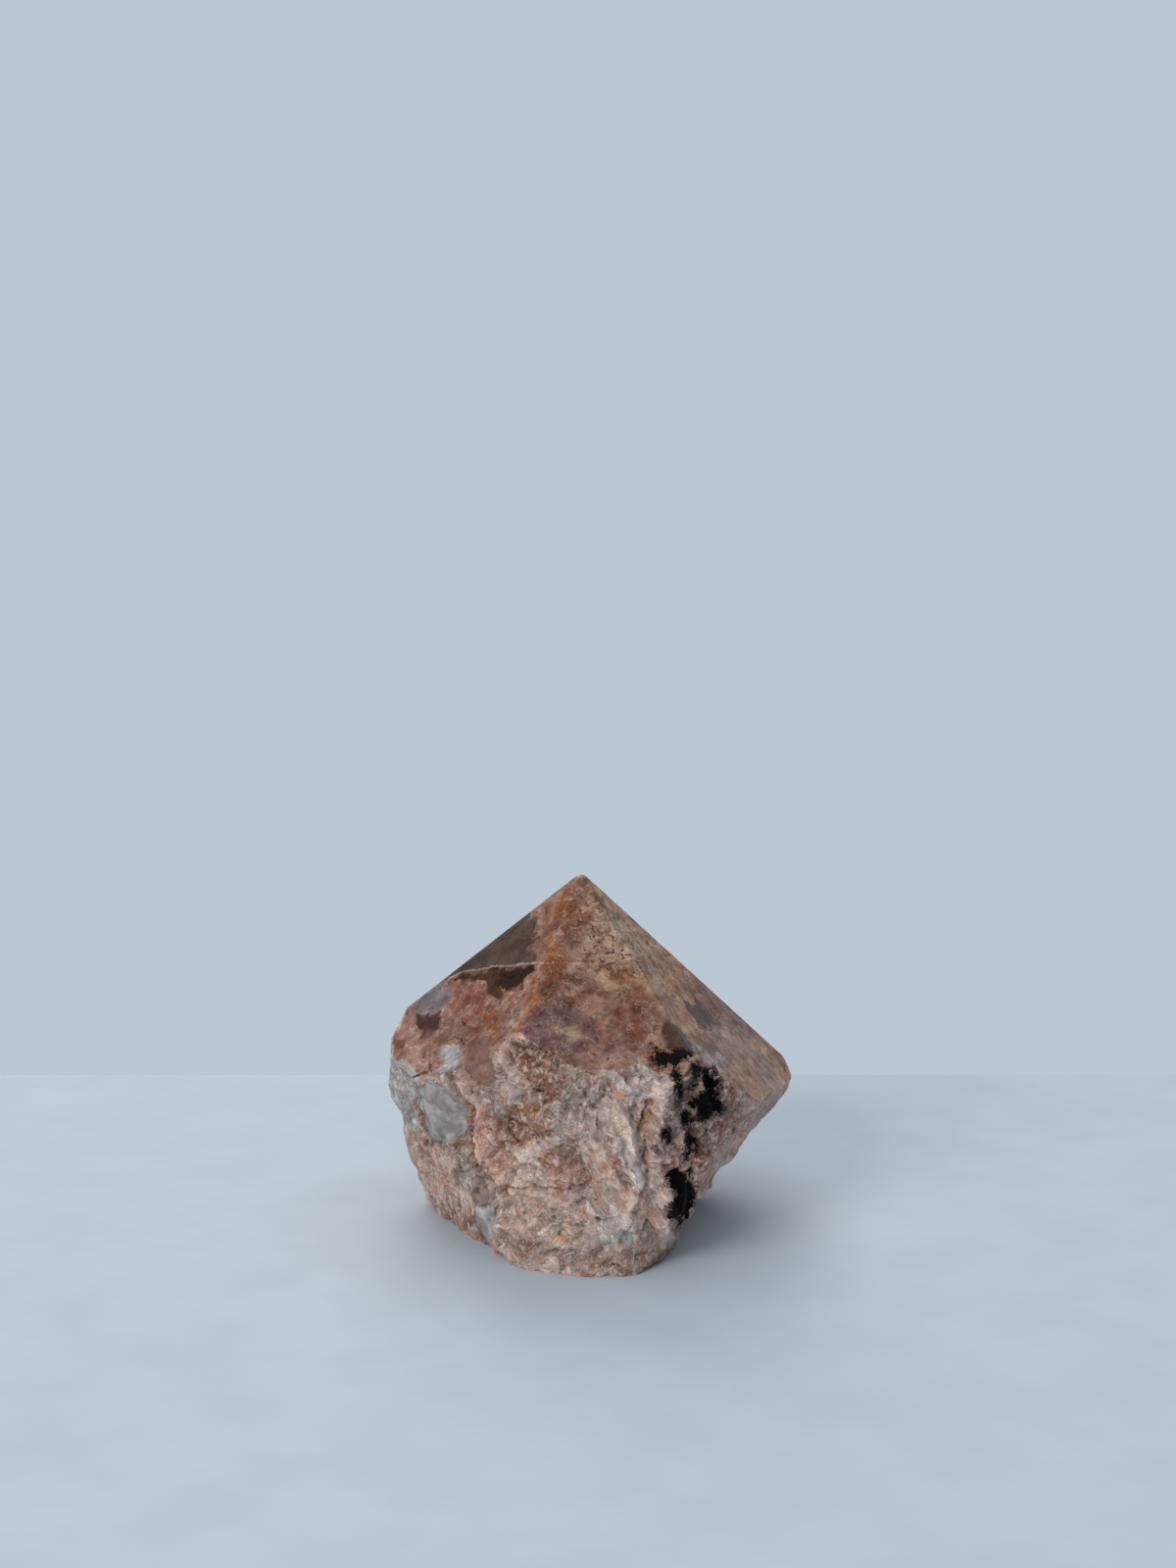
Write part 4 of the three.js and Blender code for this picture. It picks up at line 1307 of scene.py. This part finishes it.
class Nodes:
    """Short calls for a material's nodes. Numbers and values can be given for any input."""

    def __init__(self, tree):
        self.tree = tree

    def feed(self, socket, value):
        if isinstance(value, Value):
            self.tree.links.new(value.socket, socket)
        else:
            socket.default_value = value

    def node(self, kind, inputs, **properties):
        node = self.tree.nodes.new(kind)
        for name, setting in properties.items():
            setattr(node, name, setting)
        for name, value in inputs.items():
            self.feed(node.inputs[name], value)
        return node

    def add(self, kind, output, inputs, **properties):
        """An output of a new node."""
        return Value(self, self.node(kind, inputs, **properties).outputs[output])

    def object_place(self):
        return self.add("ShaderNodeTexCoord", "Object", {})

    def attribute(self, name, output="Fac"):
        return self.add("ShaderNodeAttribute", output, {}, attribute_name=name)

    def math(self, operation, a, b=0.0):
        return self.add("ShaderNodeMath", 0, {0: a, 1: b}, operation=operation)

    def vector_math(self, operation, output, inputs):
        return self.add("ShaderNodeVectorMath", output, inputs, operation=operation)

    def larger(self, a, b):
        return self.math("MAXIMUM", a, b)

    def centred(self, value):
        return value - 0.5

    def blend(self, share, a, b):
        return self.add("ShaderNodeMix", "Result", {"Factor": share, "A": a, "B": b}, data_type="FLOAT")

    def noise(self, place, scale, detail=3.0, rough=0.55, warp=0.0):
        inputs = {"Vector": place, "Scale": scale, "Detail": detail, "Roughness": rough, "Distortion": warp}
        return self.add("ShaderNodeTexNoise", "Fac", inputs)

    def ramp(self, value, low, high, out_low=0.0, out_high=1.0):
        """A smooth step of value from low to high."""
        inputs = {"Value": value, "From Min": low, "From Max": high, "To Min": out_low, "To Max": out_high}
        return self.add("ShaderNodeMapRange", "Result", inputs, interpolation_type="SMOOTHSTEP")

    def mask(self, place, mask):
        return self.ramp(self.noise(place, *mask.noise), *mask[1:])

    def channels(self, colour):
        """A colour's red, green and blue."""
        node = self.node("ShaderNodeSeparateColor", {"Color": colour})
        return [Value(self, socket) for socket in node.outputs]

    def mix(self, share, a, b, kind="MIX"):
        """Colour a with a share of colour b. The name of a mineral will do for a colour."""
        a, b = (opaque(MINERALS[colour]) if isinstance(colour, str) else colour for colour in (a, b))
        return self.add("ShaderNodeMix", 2, {0: share, 6: a, 7: b}, data_type="RGBA", blend_type=kind)

    def shade(self, colour, value):
        """A colour times a value."""
        grey = self.add("ShaderNodeCombineColor", "Color", {0: value, 1: value, 2: value})
        return self.mix(1.0, colour, grey, "MULTIPLY")


class StoneShader(Nodes):
    """The stone's shader. What several layers need is made first, and each method makes one layer."""

    def __init__(self, tree):
        super().__init__(tree)
        self.place = self.vector_math("SCALE", "Vector", {0: self.object_place(), "Scale": 1 / MM})
        self.bent = self.moved(*BENT)
        self.swayed = self.moved(*SWAYED)
        self.polish = self.ramped(self.attribute("polish"), "flat")
        self.cut = self.ramped(self.attribute("saw"), "flat")
        self.flecks = self.attribute("flecks")
        self.many_flecks = self.ramped(self.flecks, "many flecks")
        self.calm = self.attribute("calm")
        self.tint = self.attribute("tint", "Color")
        self.ragged = self.centred(self.noise(self.place, *NOISES["ragged"]))
        self.fine_ragged = self.centred(self.noise(self.place, *NOISES["fine ragged"]))
        self.grain = self.noise(self.place, *NOISES["grain"])
        self.tight = self.noise(self.bent, *NOISES["tight"])
        self.make_quartz()
        self.make_flakes()
        self.make_pits()
        self.make_tourmaline()
        # Dark crack lines, some of them painted shadow under ledges and steps.
        self.cracks_and_ledge_shadows = self.ramped(self.attribute("crack") + self.ragged * CRACK_EDGE, "cracks_and_ledge_shadows")
        self.gloss = self.larger(self.polish, self.glassy * QUARTZ_GLOSS)

    def moved(self, scale, detail, reach):
        """Places moved by noise."""
        inputs = {"Vector": self.place, "Scale": scale, "Detail": detail}
        noise = self.add("ShaderNodeTexNoise", "Color", inputs)
        centred = self.vector_math("SUBTRACT", "Vector", {0: noise, 1: (0.5, 0.5, 0.5)})
        inputs = {0: centred, 1: (reach, reach, reach), 2: self.place}
        return self.vector_math("MULTIPLY_ADD", "Vector", inputs)

    def ramped(self, value, name):
        return self.ramp(value, *RAMPS[name])

    def spanned(self, value, name):
        return self.ramp(value, 0.0, 1.0, *SPANS[name])

    def masked(self, place, name):
        return self.mask(place, MASKS[name])

    def turn(self, colour, name):
        return self.mix(1.0, colour, (*TURNS[name], 1.0), "MULTIPLY")

    def turned(self, cover, colour, name):
        """A colour that is turned where it is covered."""
        return self.mix(cover, colour, self.turn(colour, name))

    def drawn_out(self, place, name):
        turn, lengths = DRAWN_OUT[name]
        inputs = {"Vector": place, "Rotation": tuple(math.radians(t) for t in turn), "Scale": lengths}
        return self.add("ShaderNodeMapping", "Vector", inputs, vector_type="TEXTURE")

    def steps(self, place, name):
        """Height in cleavage steps."""
        lean, scale, reach = STEPS[name]
        level = self.vector_math("DOT_PRODUCT", "Value", {0: place, 1: lean})
        return level + self.noise(place, scale, *STEP_NOISE) * reach

    def make_quartz(self):
        """How far glassy quartz covers the stone, and its colour with clouds and wisps in it."""
        reach, fine_reach = QUARTZ_EDGE
        inside = self.attribute("glassy") + self.ragged * reach + self.fine_ragged * fine_reach
        soft = self.masked(self.place, "soft edges")
        self.glassy = self.ramp(inside, soft, soft * -1.0) * self.attribute("quartz_tint", "Alpha")
        self.stony = self.spanned(self.glassy, "stone over quartz")
        self.slanting = self.drawn_out(self.swayed, "ribs")
        clear = self.shade(self.attribute("quartz_tint", "Color"), self.masked(self.swayed, "clouds"))
        self.clear = self.turned(self.masked(self.slanting, "wisps"), clear, "wisps")

    def make_flakes(self):
        """Flakes in two sizes, random numbers of each flake's own, pale lips and dark feet: painted light on
        broken faces.
        """
        ribbed = self.attribute("ribbed") + self.ragged > 0.5
        fibrous = self.attribute("fibrous") + self.ragged > 0.5
        upright = self.drawn_out(self.swayed, "fibres")
        broad = self.steps(self.swayed, "broad")
        broad = self.blend(ribbed, broad, self.steps(self.slanting, "broad ribs"))
        broad = self.blend(fibrous, broad, self.steps(upright, "broad fibres"))
        small = self.steps(self.swayed, "small")
        small = self.blend(ribbed, small, self.steps(self.slanting, "small ribs"))
        self.flake = self.math("FRACT", broad)
        self.small_flake = self.math("FRACT", small)
        cell = {0: self.math("FLOOR", broad), 1: self.math("FLOOR", small)}
        cell = self.add("ShaderNodeCombineXYZ", "Vector", cell)
        self.own = self.channels(self.add("ShaderNodeTexWhiteNoise", "Color", {"Vector": cell}))
        self.own_tone = self.spanned(self.own[0], "tone of a flake")
        lips = self.larger(self.ramped(self.flake, "lip"),
                           self.ramped(self.small_flake, "small lip") * COVERS["small lips"])
        feet = self.larger(self.ramped(self.flake, "foot"),
                           self.ramped(self.small_flake, "small foot") * COVERS["small feet"])
        self.lips = lips * self.masked(self.place, "lips")
        self.feet = feet * self.masked(self.place, "feet")

    def make_pits(self):
        pits = self.masked(self.swayed, "pits") * self.masked(self.place, "pitted areas")
        self.pits = pits * self.spanned(self.flecks, "pits by flecks")

    def make_tourmaline(self):
        """Distance from tourmaline with a ragged edge, and where its black covers the stone."""
        reach, fine_reach, flake_reach = TOURMALINE_EDGE
        edge = self.attribute("tourmaline") + self.ragged * reach + self.fine_ragged * fine_reach
        self.tourmaline = edge + self.centred(self.own[0]) * flake_reach
        self.black = self.ramped(self.tourmaline, "black")

    def broken_faces(self):
        """Flakes of their own tone, with stains, milky areas, pits, lips of painted highlight and feet of
        painted shade.
        """
        colour = self.shade(self.tint, self.own_tone)
        for number, name in ((1, "warmer flakes"), (2, "paler flakes")):
            chosen = self.ramped(self.own[number], "chosen flakes") * COVERS[name]
            colour = self.turned(chosen, colour, name)
        stains = self.masked(self.swayed, "stains") * self.spanned(self.flecks, "stains by flecks")
        colour = self.turned(stains, colour, "stains")
        colour = self.mix(self.masked(self.swayed, "milk") * COVERS["milk"], colour, "pale crystals")
        # Painted highlight along each flake's lip, and painted shade at each flake's foot.
        lip = self.mix(COVERS["lip's own colour"], self.turn(colour, "lips"), "pale lips and painted highlight")
        colour = self.mix(self.lips, colour, lip)
        colour = self.mix(self.feet, colour, self.turn(self.tint, "feet"))
        colour = self.mix(self.pits * COVERS["pits"], colour, "pits")
        return self.mix(self.stony, self.clear, colour)

    def depths(self):
        """Dark and milky depths of the polished faces, with amber and violet zones."""
        inputs = {"Vector": self.bent, "Scale": PATCH_SCALE}
        patches = self.channels(self.add("ShaderNodeTexVoronoi", "Color", inputs))
        mottle, tight, patch = DEPTH_TONE
        tone = self.noise(self.bent, *NOISES["mottle"]) * mottle + self.tight * tight
        tone = tone + self.centred(patches[0]) * patch
        dark = self.ramped(tone, "dark depth") * self.spanned(self.many_flecks, "dark depth by flecks")
        pale = self.ramped(tone, "milky depth") * self.spanned(self.calm, "milky depth by calm")
        milky = self.turn(self.tint, "milky depth")
        milky = self.mix(COVERS["milky depth's own colour"], milky, "milky depth")
        colour = self.mix(pale, self.turned(dark, self.tint, "dark depth"), milky)
        amber = self.masked(self.bent, "amber") * COVERS["amber"]
        colour = self.mix(amber, colour, self.turn(self.tint, "amber"))
        colour = self.turned(self.masked(self.bent, "violet") * COVERS["violet"], colour, "violet")
        streaks = self.masked(self.drawn_out(self.bent, "silky streaks"), "silky streaks")
        return self.shade(colour, self.own_tone * self.spanned(patches[1], "tone of a patch") * streaks)

    def strokes(self):
        """Short dark strokes and dots of the polished faces."""
        inputs = {"Vector": self.drawn_out(self.bent, "strokes"), "Scale": STROKE_SCALE}
        webs = self.add("ShaderNodeTexVoronoi", "Distance", inputs, feature="DISTANCE_TO_EDGE")
        strokes = self.ramped(webs, "strokes") * self.masked(self.place, "stroked areas")
        strokes = strokes * self.spanned(self.many_flecks, "strokes by flecks")
        start = self.spanned(self.many_flecks, "start of dots by flecks")
        dots = self.ramp(self.noise(self.place, *NOISES["dots"]), start, WHOLE_DOTS)
        return self.larger(strokes, dots * COVERS["dots"])

    def polished_faces(self):
        """The depths, with lips, feet, pale threads and dark strokes over them."""
        colour = self.depths()
        lip = self.turn(colour, "polished lips")
        lip = self.mix(COVERS["polished lip's own colour"], lip, "milky depth")
        colour = self.mix(self.lips * self.spanned(self.calm, "lips by calm"), colour, lip)
        feet = self.feet * self.spanned(self.many_flecks, "feet by flecks")
        colour = self.turned(feet, colour, "polished feet")
        threads = self.noise(self.drawn_out(self.bent, "threads"), *NOISES["threads"])
        threads = self.ramped(self.math("ABSOLUTE", self.centred(threads)), "threads")
        threads = threads * self.masked(self.place, "threaded areas")
        colour = self.mix(threads * COVERS["threads"], colour, "threads")
        colour = self.mix(self.strokes(), colour, "strokes")
        return self.mix(self.stony, self.clear, colour)

    def with_veins(self, colour):
        """The named veins over a colour, and dark crack lines, some of them painted shadow under ledges."""
        veins = self.ramped(self.attribute("vein") + self.fine_ragged * VEIN_EDGE, "veins")
        colour = self.mix(veins * self.ramped(self.tight, "veins by tone"), colour, "veins")
        return self.mix(self.cracks_and_ledge_shadows * COVERS["cracks_and_ledge_shadows"], colour, "cracks_and_ledge_shadows")

    def with_tourmaline(self, colour):
        """Black tourmaline over a colour, with a dark halo, fibres along its crystals and grey specks with
        painted glints.
        """
        colour = self.turned(self.ramped(self.tourmaline, "halo"), colour, "halo")
        fibres = self.masked(self.drawn_out(self.place, "black fibres"), "black fibres")
        colour = self.mix(self.black, colour, self.mix(fibres, "black", "black fibres"))
        # Pale specks on the black: painted glints of the crystals.
        specks = self.masked(self.place, "grey specks and painted glints") * self.black
        return self.mix(specks * COVERS["grey specks and painted glints"], colour, "grey specks and painted glints")

    def colour(self):
        flat = self.larger(self.polish, self.cut)
        colour = self.mix(flat, self.broken_faces(), self.polished_faces())
        return self.with_tourmaline(self.with_veins(colour))

    def roughness(self):
        """Polished facets are satin, glassy quartz shines, and single flakes glint."""
        glints = self.ramped(self.own[1], "glints") * (1.0 - self.polish)
        gloss = self.larger(self.gloss, self.black * TOURMALINE_GLOSS)
        roughness = self.spanned(gloss, "roughness by gloss") - glints * ROUGHNESS["glints"]
        roughness = roughness + self.centred(self.grain) * ROUGHNESS["grain"]
        return roughness + self.glassy * ROUGHNESS["quartz"]

    def normal(self):
        """Relief too fine for the mesh: the flakes, the grain, the saw's marks and the crack lines."""
        height = self.flake * HEIGHTS["flakes"] + self.small_flake * HEIGHTS["small flakes"]
        height = height + self.tight * HEIGHTS["tight"] + self.grain * HEIGHTS["grain"]
        height = height - self.pits * HEIGHTS["pits"]
        height = height * self.spanned(self.larger(self.gloss, self.cut), "relief by gloss")
        kerf = self.add("ShaderNodeTexWave", "Fac", {"Vector": self.place, **KERF})
        height = height + kerf * self.cut * HEIGHTS["kerf"]
        height = height - self.cracks_and_ledge_shadows * HEIGHTS["cracks_and_ledge_shadows"]
        return self.add("ShaderNodeBump", "Normal", {"Height": height, "Distance": 1.0 * MM, "Strength": 1.0})


def stone_material():
    material = bpy.data.materials.new("moonstone")
    material.use_nodes = True
    material.node_tree.nodes.clear()
    n = StoneShader(material.node_tree)
    inputs = {"Base Color": n.colour(), "Roughness": n.roughness(), "Normal": n.normal(), **FINISH}
    shader = n.add("ShaderNodeBsdfPrincipled", "BSDF", inputs)
    n.node("ShaderNodeOutputMaterial", {"Surface": shader})
    return material


stone = stone_object()
stone.data.materials.append(stone_material())
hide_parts(NODE)
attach(stone, "root")

# ---- Studio ----

FLOOR_LOW = np.array([-400, -420, -12])
FLOOR_HIGH = np.array([400, 88, 0])
BOX_FACES = [(0, 1, 3, 2), (4, 6, 7, 5), (0, 4, 5, 1), (2, 3, 7, 6), (0, 2, 6, 4), (1, 5, 7, 3)]
FLOOR_SHADE = Mask((60, 4), 0.3, 0.7, 0.97, 1.03)  # its noise is per metre
FLOOR_ROUGHNESS = 0.9
FLOOR_COLOUR = (180, 187, 193)
WALL_COLOUR = (187, 199, 210)
# Brightness of the sky, in two parts that add up: the heights of a direction where each starts and
# ends to change, and its brightness there.
SKY_LOW = (0.30, 0.45, 1, 0.4)
SKY_TOP = (0.70, 0.86, 0, 1.7)
KEY_COLOUR = (1, 0.975, 0.95)
LIT_POINT = Vector((0, 0, 30))
SOFTBOXES = {  # place and width (mm), and power (W)
    "key": ((-870, -1110, 640), 760, 14),
    "fill_behind": ((-260, 1100, 900), 1000, 9),
}


def floor_object():
    box = [np.where(corner, FLOOR_HIGH, FLOOR_LOW) * MM for corner in product((False, True), repeat=3)]
    mesh = bpy.data.meshes.new("floor")
    mesh.from_pydata(np.array(box).tolist(), [], BOX_FACES)
    material = bpy.data.materials.new("floor")
    material.use_nodes = True
    n = Nodes(material.node_tree)
    shader = material.node_tree.nodes["Principled BSDF"]
    n.feed(shader.inputs["Base Color"], n.shade(opaque(FLOOR_COLOUR), n.mask(n.object_place(), FLOOR_SHADE)))
    n.feed(shader.inputs["Roughness"], FLOOR_ROUGHNESS)
    mesh.materials.append(material)
    return link("floor", mesh)


def light_the_studio():
    world = bpy.data.worlds.new("studio")
    world.use_nodes = True
    background = world.node_tree.nodes["Background"]
    n = Nodes(world.node_tree)
    direction = n.add("ShaderNodeTexCoord", "Generated", {})
    rise = n.add("ShaderNodeSeparateXYZ", "Z", {"Vector": direction})
    n.feed(background.inputs["Strength"], n.ramp(rise, *SKY_LOW) + n.ramp(rise, *SKY_TOP))
    n.feed(background.inputs["Color"], opaque(WALL_COLOUR))
    bpy.context.scene.world = world
    for name, (place, width, power) in SOFTBOXES.items():
        light = bpy.data.lights.new(name, "AREA")
        light.shape = "DISK"
        light.size = width * MM
        light.energy = power
        light.color = KEY_COLOUR
        lamp = link(name, light)
        lamp.location = Vector(place) * MM
        lamp.rotation_euler = (Vector(place) - LIT_POINT).to_track_quat("Z", "Y").to_euler()
    bpy.context.scene.view_settings.view_transform = "Standard"


def place_camera():
    camera = bpy.data.cameras.new("camera")
    camera.lens = SENSOR * FOCAL_PX / max(PICTURE)
    camera.sensor_width = SENSOR
    camera.clip_start = CLIP_START
    seat = link("camera", camera)
    seat.location = Vector(view.place) * MM
    seat.rotation_euler = (math.radians(90) - PITCH, 0.0, 0.0)
    bpy.context.scene.camera = seat


floor_object()
light_the_studio()
place_camera()
